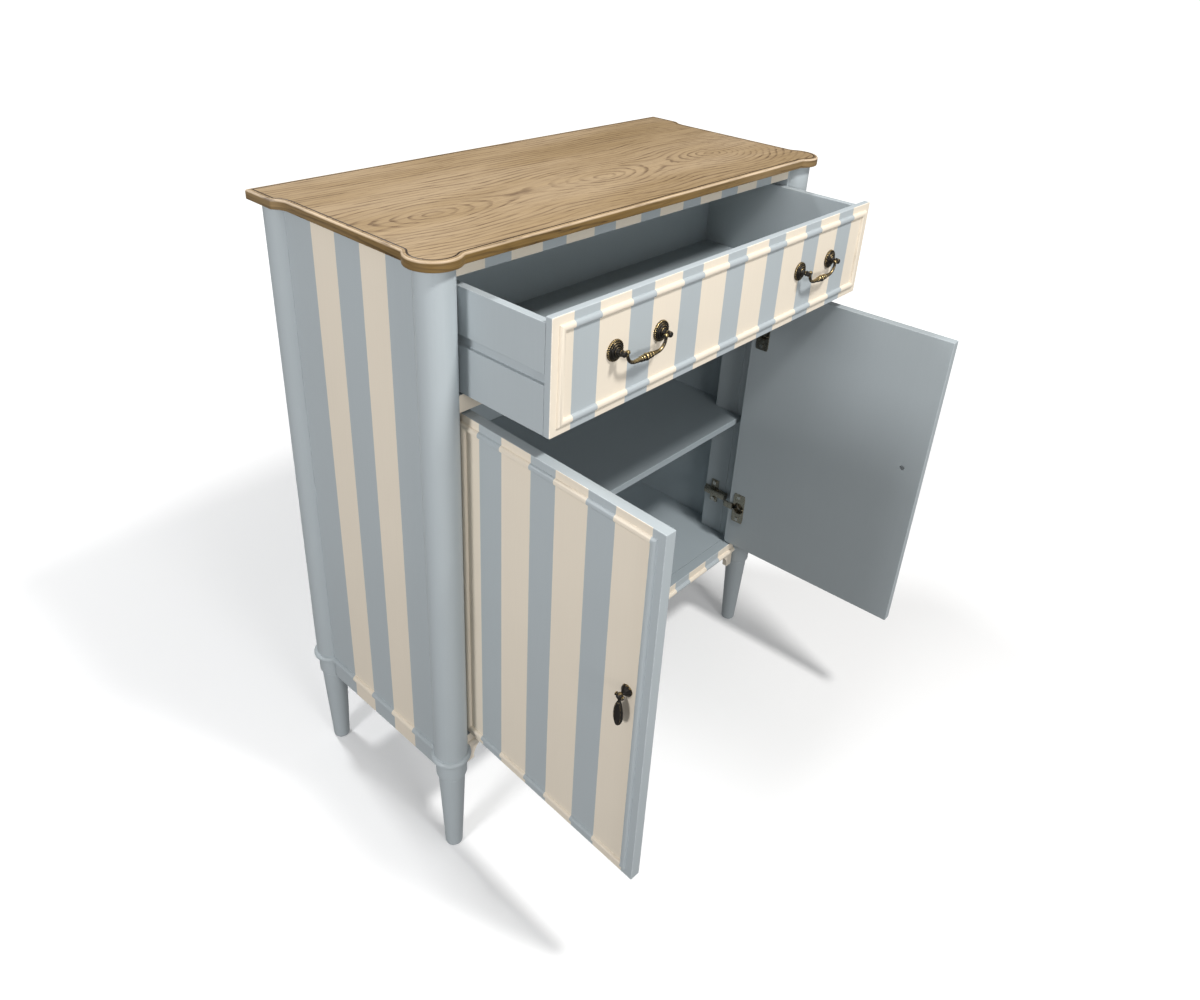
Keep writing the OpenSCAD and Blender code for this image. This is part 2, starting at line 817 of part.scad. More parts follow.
// Turned base of a door pull, standing out to -Y, with the ball that the drop is pinned to.
module pull_base() {
    color(brass) translate([drop_x, 0, drop_z]) difference() {
        rotate([90, 0, 0]) {
            rotate_extrude() polygon([[0, 0], [base_r, 0], [base_r, 1.2], [base_r - 1, 2.2],
                [base_r - 2.2, 4], [3.4, 6.2], [neck_r, 7.4], [neck_r, drop_out], [0, drop_out]]);
            translate([0, 0, drop_out]) sphere(ball_r);
        }
        rotate([90, 0, 0]) bar(screw_r + screw_fit, -over, 5);
        translate([0, -drop_out, 0]) rotate([0, 90, 0]) bar(drop_pin_r + run_fit, -ball_r, ball_r);
    }
}

module right_pull_base() { right_door_place() pull_base(); }
module left_pull_base() { left_door_place() pull_base(); }

// Half width of a teardrop at t, from 0 at its tip to 1 at its round end; its greatest value is 1.
function tear(t) = pow(t, 0.75) * sqrt(1 - t) / 0.431;

// Drop with its fork round the ball, hanging on a pin through the ball.
module hanging_drop() {
    inner = ball_r + 0.4;
    outer = inner + 1.6;
    wide = 3;
    color(brass) translate([drop_x, -drop_out, drop_z]) {
        rotate([0, 90, 0]) bar(drop_pin_r, -outer, outer);
        for (side = [-1, 1]) translate([side * (inner + outer) / 2, 0, 0]) rotate([0, 90, 0])
            cylinder(r = wide / 2 + 1, h = outer - inner, center = true);
        difference() {
            rotate([90, 0, 0]) cylinder(r = outer, h = wide, center = true);
            rotate([90, 0, 0]) cylinder(r = inner, h = wide + 2 * over, center = true);
            block([-outer - over, -wide, 0], [outer + over, wide, outer + over]);
        }
        intersection() {
            rotate_extrude() polygon(concat([[0, 0.4 - outer]],
                [for (i = [0:12]) [max(1.7 * (1 - i / 12), drop_r * tear(i / 12)), 0.4 - outer - drop_l * i / 12]]));
            block([-drop_r - over, -drop_t / 2, -outer - drop_l], [drop_r + over, drop_t / 2, 0.4 - outer]);
        }
    }
}

module right_drop() { right_door_place() hanging_drop(); }
module left_drop() { left_door_place() hanging_drop(); }

// Moves its children from the shut place to where the drawer stands.
module drawer_place() {
    translate([0, -drawer_out, 0]) children();
}

module at_pull_posts() {
    for (side = [-1, 1], end = [-1, 1]) translate([side * pull_side + end * pull_pitch / 2, 0, pull_z])
        mirror([end > 0 ? 1 : 0, 0, 0]) children();
}

module drawer_front() {
    color(cream) drawer_place() difference() {
        block([-drawer_x, 0, drawer_z], [drawer_x, drawer_front_t, drawer_z + drawer_h]);
        at_pull_posts() rotate([-90, 0, 0]) bar(screw_r + screw_fit, -over, drawer_front_t + over);
    }
}

module drawer_side() {
    color(blue) difference() {
        block([box_x - drawer_side_t, drawer_front_t, box_z], [box_x, box_back_y, box_top_z]);
        block([box_x - groove_d, drawer_front_t - over, groove_z - groove_h / 2],
            [box_x + over, box_back_y + over, groove_z + groove_h / 2]);
        drawer_bottom_room();
    }
}

module drawer_right_side() { drawer_place() drawer_side(); }
module drawer_left_side() { drawer_place() on_left() drawer_side(); }

bottom_let = 4;     // how far the drawer bottom is let into the sides

module drawer_bottom_room() {
    x = box_x - drawer_side_t + bottom_let + seat_fit;
    block([-x, 0, floor_z - seat_fit], [x, box_back_y - drawer_side_t + over, floor_z + drawer_bottom_t]);
}

module drawer_bottom() {
    x = box_x - drawer_side_t + bottom_let;
    color(inside_blue) drawer_place()
        block([-x, drawer_front_t, floor_z], [x, box_back_y - drawer_side_t, floor_z + drawer_bottom_t]);
}

module drawer_back() {
    x = box_x - drawer_side_t;
    color(blue) drawer_place()
        block([-x, box_back_y - drawer_side_t, box_z], [x, box_back_y, box_top_z - 6]);
}

module drawer_moulding() {
    x = drawer_x - frame_in;
    color(cream) drawer_place()
        moulding_frame(-x, drawer_z + frame_in, x, drawer_z + drawer_h - frame_in);
}

// Rosette and post of a drawer pull, drilled across for the bail.
module pull_posts() {
    r = rosette_r;
    color(brass) drawer_place() at_pull_posts() difference() {
        rotate([90, 0, 0]) rotate_extrude() polygon([[0, 0], [r - 0.6, 0], [r, 1], [r, 2.2], [r - 1.8, 3.2],
            [r - 3, 3.4], [r - 3.4, 4.4], [r - 5.4, 5.2], [r - 6.5, 6.4], [4.2, 7.2], [3.2, 8.4],
            [3.2, bail_out - 4], [post_head_r, bail_out - 3], [post_head_r, bail_out + 1.6],
            [post_head_r - 1, bail_out + 3], [0, bail_out + 3.6]]);
        rotate([90, 0, 0]) bar(screw_r + screw_fit, -over, 7);
        translate([-1.5, -bail_out]) rotate([0, 90, 0]) cylinder(r = bail_pin_r + run_fit, h = r);
    }
}

module pull_screws() {
    color(steel) drawer_place() at_pull_posts() translate([0, drawer_front_t + head_t, 0])
        rotate([90, 0, 0]) screw(drawer_front_t + head_t + 6.5);
}

// One bail, hanging on its two posts, with the turned knots in its middle.
module bail() {
    x_pin = pull_pitch / 2;
    x_leg = x_pin - post_head_r - 0.4 - bail_r;
    x_run = x_leg - bail_corner;
    translate([0, -bail_out, pull_z]) {
        both_sides() {
            translate([x_leg, 0]) rotate([0, 90, 0]) bar(bail_pin_r, 0, x_pin + 0.5 - x_leg);
            translate([x_leg, 0]) rotate([0, 90, 0]) bar(bail_r + 0.4, -bail_r, bail_r);
            translate([x_leg, 0]) bar(bail_r, bail_corner - bail_drop, 0);
            translate([x_run, 0, bail_corner - bail_drop]) rotate([90, 0, 0]) rotate(-90)
                rotate_extrude(angle = 90) translate([bail_corner, 0]) circle(bail_r);
        }
        translate([-x_run, 0, -bail_drop]) rotate([0, 90, 0]) bar(bail_r, 0, 2 * x_run);
        translate([0, 0, -bail_drop]) rotate([0, 90, 0]) rotate_extrude() polygon([[0, -11],
            [3.4, -11], [3.8, -10], [3.4, -9], [3, -8.4], [4, -7], [4, -5.6], [3, -4.6], [3.2, -3.4],
            [4.4, -2], [4.8, 0], [4.4, 2], [3.2, 3.4], [3, 4.6], [4, 5.6], [4, 7], [3, 8.4], [3.4, 9],
            [3.8, 10], [3.4, 11], [0, 11]]);
    }
}

module left_bail() { color(brass) drawer_place() translate([-pull_side, 0, 0]) bail(); }
module right_bail() { color(brass) drawer_place() translate([pull_side, 0, 0]) bail(); }

top_panel();
front_left_post();
front_right_post();
back_left_post();
back_right_post();
left_side_panel();
right_side_panel();
back_panel();
top_rail();
middle_rail();
bottom_rail();
back_rail();
bottom_panel();
left_base_bead();
right_base_bead();
front_base_bead();
left_bracket();
right_bracket();
shelf();
shelf_pins();
left_batten();
right_batten();
front_left_leg();
front_right_leg();
back_left_leg();
back_right_leg();
leg_bolts();
left_runner();
right_runner();
drawer_stops();
top_cleats();
case_screws();
left_hinge_arms();
right_hinge_arms();
hinge_plate_screws();
drawer_front();
drawer_left_side();
drawer_right_side();
drawer_back();
drawer_bottom();
drawer_moulding();
pull_posts();
pull_screws();
left_bail();
right_bail();
left_door();
left_door_moulding();
left_hinge_cups();
left_hinge_pins();
left_pull_base();
left_drop();
right_door();
right_door_moulding();
right_hinge_cups();
right_hinge_pins();
right_pull_base();
right_drop();
left_door_screws();
right_door_screws();
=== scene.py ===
import json
import math

import bmesh
import bpy
from bpy.props import FloatProperty, FloatVectorProperty, IntProperty, PointerProperty
from mathutils import Matrix, Vector


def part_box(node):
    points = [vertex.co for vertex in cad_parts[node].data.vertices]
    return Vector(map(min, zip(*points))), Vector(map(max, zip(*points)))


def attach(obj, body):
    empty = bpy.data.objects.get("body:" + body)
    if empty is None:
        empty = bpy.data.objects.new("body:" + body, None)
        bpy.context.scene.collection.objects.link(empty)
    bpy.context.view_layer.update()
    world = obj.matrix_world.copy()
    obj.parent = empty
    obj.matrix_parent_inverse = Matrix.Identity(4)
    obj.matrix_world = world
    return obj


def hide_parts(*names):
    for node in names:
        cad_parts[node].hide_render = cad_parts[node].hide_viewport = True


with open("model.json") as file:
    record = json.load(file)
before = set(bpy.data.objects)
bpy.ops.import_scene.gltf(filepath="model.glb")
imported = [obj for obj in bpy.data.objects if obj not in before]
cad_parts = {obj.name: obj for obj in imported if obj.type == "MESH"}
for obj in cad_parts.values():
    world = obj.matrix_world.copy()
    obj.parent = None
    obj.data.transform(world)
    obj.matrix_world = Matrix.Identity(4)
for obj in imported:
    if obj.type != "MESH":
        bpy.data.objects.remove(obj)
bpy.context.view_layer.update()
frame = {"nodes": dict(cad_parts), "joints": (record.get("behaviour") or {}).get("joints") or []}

bl_info = {
    "name": "Striped side cabinet",
    "version": (1, 0, 0),
    "blender": (4, 5, 0),
    "location": "3D View > Sidebar > Cabinet",
    "description": "Builds a painted side cabinet with one drawer and two doors round its CAD frame",
    "category": "Add Mesh",
}

MM = 0.001
JOINTS = {joint["name"]: joint for joint in frame["joints"]}
SIDES = {"left": -1, "right": 1}


# Places and sizes from the frame

def node_box(node, place=None):
    """Lowest and highest corner of a CAD node, in the row frame or in a door's shut place."""
    if place is None:
        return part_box(node)
    back = place.inverted()
    points = [back @ v.co for v in frame["nodes"][node].data.vertices]
    low = Vector([min(p[k] for p in points) for k in range(3)])
    high = Vector([max(p[k] for p in points) for k in range(3)])
    return low, high


def door_place(side):
    """Turns a door from its shut place to where it stands open at rest."""
    joint = JOINTS[f"{side}_door_hinge"]
    pivot = Vector(joint["pos_m"])
    open_turn = -math.radians(joint["range_deg"][0]) * SIDES[side]
    return (Matrix.Translation(pivot) @ Matrix.Rotation(open_turn, 4, "Z")
            @ Matrix.Translation(-pivot))


# Outlines and meshes

class Shape:
    """Points and faces of a piece, with an edge mark for arrises, where the paint shows wear and a painted
    highlight.
    """

    def __init__(self):
        self.points = []
        self.faces = []
        self.marks = []
        self.runs = []
        self.slots = []

    def ring(self, points, mark=0.0, runs=None):
        first = len(self.points)
        self.points += [Vector(p) for p in points]
        self.marks += [mark] * len(points)
        self.runs += runs or [0.0] * len(points)
        return list(range(first, len(self.points)))

    def bridge(self, a, b, slot=0, closed=True):
        count = len(a)
        for i in range(count if closed else count - 1):
            j = (i + 1) % count
            self.face([a[i], a[j], b[j], b[i]], slot)

    def face(self, corners, slot=0):
        self.faces.append(corners)
        self.slots.append(slot)

    def add(self, other, matrix=None):
        first = len(self.points)
        for p in other.points:
            self.points.append(matrix @ p if matrix else p.copy())
        self.marks += other.marks
        self.runs += other.runs
        self.faces += [[first + i for i in f] for f in other.faces]
        self.slots += other.slots
        return self

    def moved(self, matrix):
        return Shape().add(self, matrix)


def arc(centre, radius, start, end, steps):
    """Points of a circle from one angle to another, in degrees."""
    turns = [math.radians(start + (end - start) * i / steps) for i in range(steps + 1)]
    return [(centre[0] + radius * math.cos(t), centre[1] + radius * math.sin(t)) for t in turns]


def with_round_corners(loop, radius, steps=3, least_turn=30):
    """The same outline with its sharp corners rounded."""
    made = []
    count = len(loop)
    for i in range(count):
        a, b, c = (Vector(loop[k % count]) for k in (i - 1, i, i + 1))
        u, v = a - b, c - b
        if 180 - math.degrees(u.angle(v)) < least_turn:
            made.append(tuple(b))
            continue
        reach = min(radius, u.length * 0.45, v.length * 0.45)
        p, q = b + u.normalized() * reach, b + v.normalized() * reach
        for k in range(steps + 1):
            t = k / steps
            made.append(tuple(p * (1 - t) ** 2 + b * 2 * t * (1 - t) + q * t * t))
    return made


def inset(loop, depth):
    """The outline moved inwards; it runs counter-clockwise."""
    made = []
    count = len(loop)
    for i in range(count):
        a, b, c = (Vector(loop[k % count]) for k in (i - 1, i, i + 1))
        u, v = (b - a).normalized(), (c - b).normalized()
        to_left = Vector((-u.y, u.x))
        middle = to_left + Vector((-v.y, v.x))
        made.append(tuple(b + middle * (depth / max(middle.dot(to_left), 0.3))))
    return made


def rectangle(x0, y0, x1, y1):
    return [(x0, y0), (x1, y0), (x1, y1), (x0, y1)]


def slab(outline, low, high, arris, corner=None, steps=3, axis="Z"):
    """A board cut to an outline, with rounded arrises and corners, lying across the given axis."""
    loop = with_round_corners(outline, max(corner or 0.0, arris * 1.5))
    shape = Shape()
    rings = []
    for up in (False, True):
        for i in range(steps + 1):
            t = math.radians(90 * i / steps)
            depth = arris * (1 - math.sin(t))
            rise = arris * (1 - math.cos(t))
            if up:
                t = math.radians(90 - 90 * i / steps)
                depth = arris * (1 - math.sin(t))
                rise = arris * (1 - math.cos(t))
            level = high - rise if up else low + rise
            inner = inset(loop, depth)
            if axis == "Z":
                points = [(p[0], p[1], level) for p in inner]
            elif axis == "Y":
                points = [(p[0], level, p[1]) for p in inner]
            else:
                points = [(level, p[0], p[1]) for p in inner]
            # The middle rings of each rounded arris carry the edge mark for paint wear and a painted
            # highlight.
            rings.append(shape.ring(points, 1.0 if 0 < i < steps else 0.0))
    for a, b in zip(rings, rings[1:]):
        shape.bridge(a, b)
    shape.face(list(reversed(rings[0])))
    shape.face(rings[-1])
    return shape


def board(low, high, arris=0.0008, axis="Z"):
    """A plain board between two corners, with softened edges."""
    u, v, w = {"Z": (0, 1, 2), "Y": (0, 2, 1), "X": (1, 2, 0)}[axis]
    return slab(rectangle(low[u], low[v], high[u], high[v]), low[w], high[w], arris, axis=axis)


def lathe(profile, segments=48, flute=None):
    """Turns (radius, height) pairs round Z. flute gives a factor for the radius by turn and height."""
    shape = Shape()
    rings = []
    for radius, height in profile:
        if radius <= 1e-7:
            rings.append(shape.ring([(0, 0, height)]))
            continue
        points = []
        for i in range(segments):
            t = 2 * math.pi * i / segments
            r = radius * (flute(t, height) if flute else 1)
            points.append((r * math.cos(t), r * math.sin(t), height))
        rings.append(shape.ring(points))
    for a, b in zip(rings, rings[1:]):
        if len(a) == 1 and len(b) == 1:
            continue
        if len(a) == 1:
            for i in range(len(b)):
                shape.face([a[0], b[(i + 1) % len(b)], b[i]])
        elif len(b) == 1:
            for i in range(len(a)):
                shape.face([a[i], a[(i + 1) % len(a)], b[0]])
        else:
            shape.bridge(a, b)
    return shape


def curve_through(points, steps=6):
    """A smooth curve through (radius, height) pairs, for turned profiles."""
    made = []
    padded = [points[0]] + list(points) + [points[-1]]
    for i in range(1, len(padded) - 2):
        p = [Vector(padded[k]) for k in (i - 1, i, i + 1, i + 2)]
        for k in range(steps):
            t = k / steps
            made.append(0.5 * (2 * p[1] + (p[2] - p[0]) * t
                               + (2 * p[0] - 5 * p[1] + 4 * p[2] - p[3]) * t * t
                               + (3 * p[1] - p[0] - 3 * p[2] + p[3]) * t ** 3))
    made.append(Vector(points[-1]))
    return [(max(q.x, 0.0), q.y) for q in made]


def tube(path, radii, sides=20, caps=True):
    """A round rod along a path, with its own radius at each point."""
    shape = Shape()
    rings = []
    path = [Vector(p) for p in path]
    normal = None
    for i, p in enumerate(path):
        ahead = (path[min(i + 1, len(path) - 1)] - path[max(i - 1, 0)]).normalized()
        if normal is None:
            helper = Vector((0, 1, 0)) if abs(ahead.y) < 0.9 else Vector((1, 0, 0))
            normal = ahead.cross(helper).normalized()
        normal = (normal - ahead * normal.dot(ahead)).normalized()
        other = ahead.cross(normal)
        radius = radii[i]
        rings.append(shape.ring([
            p + normal * radius * math.cos(t) + other * radius * math.sin(t)
            for t in (2 * math.pi * k / sides for k in range(sides))]))
    for a, b in zip(rings, rings[1:]):
        shape.bridge(a, b)
    if caps:
        shape.face(list(reversed(rings[0])))
        shape.face(rings[-1])
    return shape


def make_piece(name, shape, materials, body, replaces=(), place=None, crease=32, hollows=0.0,
               finish=None):
    """Turns a shape into an object that rides on a CAD body.

    finish gives the number of the material for a face, by its middle and its normal.
    """
    mesh = bpy.data.meshes.new(name)
    mesh.from_pydata([tuple(p) for p in shape.points], [], shape.faces)
    for polygon, number in zip(mesh.polygons, shape.slots):
        polygon.material_index = number
    mark = mesh.attributes.new("arris", "FLOAT", "POINT")
    mark.data.foreach_set("value", shape.marks)
    if any(shape.runs):
        run = mesh.attributes.new("run", "FLOAT", "POINT")
        run.data.foreach_set("value", shape.runs)
    work = bmesh.new()
    work.from_mesh(mesh)
    bmesh.ops.remove_doubles(work, verts=work.verts, dist=2e-6)
    bmesh.ops.recalc_face_normals(work, faces=work.faces)
    for face in work.faces:
        face.smooth = True
    for edge in work.edges:
        sharp = len(edge.link_faces) == 2 and edge.calc_face_angle(0) > math.radians(crease)
        edge.smooth = not sharp
    work.to_mesh(mesh)
    work.free()
    for material in materials:
        mesh.materials.append(material)
    if finish:
        for polygon in mesh.polygons:
            polygon.material_index = finish(polygon.center, polygon.normal)
    if hollows:
        mark_hollows(mesh, hollows)
    piece = bpy.data.objects.new(name, mesh)
    bpy.context.scene.collection.objects.link(piece)
    if place is not None:
        piece.matrix_world = place
    if not hollows:
        keep_flat(piece)
    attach(piece, body)
    if replaces:
        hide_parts(*replaces)
    return piece


def keep_flat(piece):
    """Shades large faces flat and puts the whole turn of the light into the arrises."""
    weigh = piece.modifiers.new("flat faces", "WEIGHTED_NORMAL")
    weigh.mode = "FACE_AREA"
    weigh.weight = 100
    weigh.keep_sharp = True


def mark_hollows(mesh, gain, rounds=1):
    """Stores how deep each point lies among its neighbours, for the dark patina in metal."""
    count = len(mesh.vertices)
    near = [[] for _ in range(count)]
    for edge in mesh.edges:
        a, b = edge.vertices
        near[a].append(b)
        near[b].append(a)
    values = []
    for v in mesh.vertices:
        total = 0.0
        for k in near[v.index]:
            reach = mesh.vertices[k].co - v.co
            if reach.length > 1e-9:
                total += reach.normalized().dot(v.normal)
        values.append(total / max(len(near[v.index]), 1))
    for _ in range(rounds):
        values = [(values[i] + sum(values[k] for k in near[i]) / max(len(near[i]), 1)) / 2
                  for i in range(count)]
    hollow = mesh.attributes.new("hollow", "FLOAT", "POINT")
    hollow.data.foreach_set("value", [min(max(0.5 + gain * v, 0.0), 1.0) for v in values])


def cut_from(piece, cutter_shape):
    """Cuts a shape out of a piece."""
    mesh = bpy.data.meshes.new("cutter")
    mesh.from_pydata([tuple(p) for p in cutter_shape.points], [], cutter_shape.faces)
    work = bmesh.new()
    work.from_mesh(mesh)
    bmesh.ops.recalc_face_normals(work, faces=work.faces)
    work.to_mesh(mesh)
    work.free()
    cutter = bpy.data.objects.new("cutter", mesh)
    cutter.matrix_world = piece.matrix_world
    bpy.context.scene.collection.objects.link(cutter)
    modifier = piece.modifiers.new("cut", "BOOLEAN")
    modifier.object = cutter
    modifier.operation = "DIFFERENCE"
    modifier.solver = "EXACT"
    bpy.context.view_layer.update()
    graph = bpy.context.evaluated_depsgraph_get()
    result = bpy.data.meshes.new_from_object(piece.evaluated_get(graph))
    piece.modifiers.clear()
    old = piece.data
    piece.data = result
    keep_flat(piece)
    bpy.data.meshes.remove(old)
    bpy.data.objects.remove(cutter)
    bpy.data.meshes.remove(mesh)
    work = bmesh.new()
    work.from_mesh(result)
    for edge in work.edges:
        if len(edge.link_faces) == 2 and edge.calc_face_angle(0) > math.radians(32):
            edge.smooth = False
    work.to_mesh(result)
    work.free()


# Materials

def put(tree, kind, values=(), **settings):
    """Adds a node; values holds sockets to link or plain numbers to set."""
    node = tree.nodes.new(kind)
    for key, value in settings.items():
        setattr(node, key, value)
    for key, value in dict(values).items():
        if isinstance(value, bpy.types.NodeSocket):
            tree.links.new(value, node.inputs[key])
        else:
            node.inputs[key].default_value = value
    return node


def calc(tree, operation, a, b=0.0, c=0.0, clamp=False):
    """The result of a math node."""
    return put(tree, "ShaderNodeMath", {0: a, 1: b, 2: c}, operation=operation,
               use_clamp=clamp).outputs[0]


def noise(tree, where, scale, detail=2.0, rough=0.5, warp=0.0):
    return put(tree, "ShaderNodeTexNoise", {"Vector": where, "Scale": scale, "Detail": detail,
                                            "Roughness": rough, "Distortion": warp}).outputs["Fac"]


def stretched(tree, where, scale, turn=(0, 0, 0), shift=(0, 0, 0)):
    return put(tree, "ShaderNodeMapping", {"Vector": where, "Scale": scale, "Rotation": turn,
                                           "Location": shift}).outputs[0]


def ramp(tree, value, low, high, to_low=0.0, to_high=1.0, smooth=True):
    return put(tree, "ShaderNodeMapRange",
               {"Value": value, "From Min": low, "From Max": high, "To Min": to_low,
                "To Max": to_high},
               interpolation_type="SMOOTHSTEP" if smooth else "LINEAR").outputs[0]


def blend_colours(tree, share, a, b, way="MIX"):
    node = put(tree, "ShaderNodeMix", {0: share, 6: a, 7: b}, data_type="RGBA", blend_type=way)
    return node.outputs[2]


def new_group(name, inputs, outputs):
    """A shader node group with named sockets: (name, kind, default) in, (name, kind) out."""
    tree = bpy.data.node_groups.new(name, "ShaderNodeTree")
    for label, kind, default in inputs:
        socket = tree.interface.new_socket(label, in_out="INPUT", socket_type=f"NodeSocket{kind}")
        socket.default_value = default
    for label, kind in outputs:
        tree.interface.new_socket(label, in_out="OUTPUT", socket_type=f"NodeSocket{kind}")
    return tree, tree.nodes.new("NodeGroupInput").outputs, tree.nodes.new("NodeGroupOutput").inputs


def group(name):
    """A built group by name, made on first use."""
    return bpy.data.node_groups.get(name) or GROUPS[name](name)


def use_group(tree, name, values=()):
    node = tree.nodes.new("ShaderNodeGroup")
    node.node_tree = group(name)
    for key, value in dict(values).items():
        if isinstance(value, bpy.types.NodeSocket):
            tree.links.new(value, node.inputs[key])
        else:
            node.inputs[key].default_value = value
    return node.outputs


def paint_group(name):
    """Brushed satin paint: soft mottling, brush streaks, small scuffs, and paler arrises that are partly
    worn paint and partly a painted highlight.
    """
    tree, given, result = new_group(name, [
        ("Colour", "Color", (0.5, 0.5, 0.5, 1)), ("Mottle", "Float", 0.05),
        ("Streaks", "Float", 0.04), ("Edge wear and highlight", "Float", 0.5), ("Scuffs", "Float", 0.25)],
        [("Colour", "Color"), ("Roughness", "Float"), ("Height", "Float")])
    where = put(tree, "ShaderNodeTexCoord").outputs["Object"]
    soft = noise(tree, where, 7.0, 3.0)
    streak = noise(tree, stretched(tree, where, (420, 420, 14)), 1.0, 3.0, 0.6)
    grit = noise(tree, where, 900.0, 2.0)
    value = calc(tree, "MULTIPLY_ADD", calc(tree, "SUBTRACT", soft, 0.5), given["Mottle"], 1.0)
    value = calc(tree, "MULTIPLY_ADD", calc(tree, "SUBTRACT", streak, 0.5), given["Streaks"], value)
    toned = put(tree, "ShaderNodeHueSaturation", {"Color": given["Colour"], "Value": value})
    # Paler arrises: partly worn, thinner paint and partly a painted highlight where light catches the
    # edge.
    arris = put(tree, "ShaderNodeAttribute", attribute_name="arris").outputs["Fac"]
    broken = ramp(tree, noise(tree, where, 160.0, 4.0, 0.65), 0.42, 0.66)
    edge_wear_and_highlight_share = calc(tree, "MULTIPLY", calc(tree, "MULTIPLY", arris, broken), given["Edge wear and highlight"])
    pale = put(tree, "ShaderNodeHueSaturation",
               {"Color": toned.outputs[0], "Saturation": 0.75, "Value": 1.22})
    edges_worn_and_lit = blend_colours(tree, edge_wear_and_highlight_share, toned.outputs[0], pale.outputs[0])
    patch = ramp(tree, noise(tree, where, 11.0, 2.0), 0.66, 0.78)
    mark = ramp(tree, noise(tree, stretched(tree, where, (60, 60, 34), (0.3, 0.5, 0.2)), 1.0, 5.0,
                            0.7), 0.60, 0.72)
    scuff = calc(tree, "MULTIPLY", calc(tree, "MULTIPLY", patch, mark), given["Scuffs"])
    dark = put(tree, "ShaderNodeHueSaturation", {"Color": edges_worn_and_lit, "Saturation": 0.8, "Value": 0.55})
    tree.links.new(blend_colours(tree, scuff, edges_worn_and_lit, dark.outputs[0]), result["Colour"])
    gloss = calc(tree, "MULTIPLY_ADD", soft, 0.16, 0.36)
    tree.links.new(calc(tree, "MULTIPLY_ADD", scuff, 0.4, gloss), result["Roughness"])
    height = calc(tree, "MULTIPLY_ADD", grit, 0.25, calc(tree, "MULTIPLY", streak, 0.75))
    tree.links.new(height, result["Height"])
    return tree


def stripe_group(name):
    """1 on the second of two stripes that repeat along a distance in metres, else 0."""
    tree, given, result = new_group(name, [
        ("Along", "Float", 0.0), ("First width", "Float", 0.05), ("Second width", "Float", 0.04)],
        [("Mask", "Float")])
    where = put(tree, "ShaderNodeTexCoord").outputs["Object"]
    drift = calc(tree, "SUBTRACT", noise(tree, where, 90.0, 3.0), 0.5)
    along = calc(tree, "MULTIPLY_ADD", drift, 0.0006, given["Along"])
    period = calc(tree, "ADD", given["First width"], given["Second width"])
    place = calc(tree, "FLOORED_MODULO", along, period)
    after = calc(tree, "SUBTRACT", place, given["First width"])
    tree.links.new(ramp(tree, after, -0.0003, 0.0003), result["Mask"])
    return tree


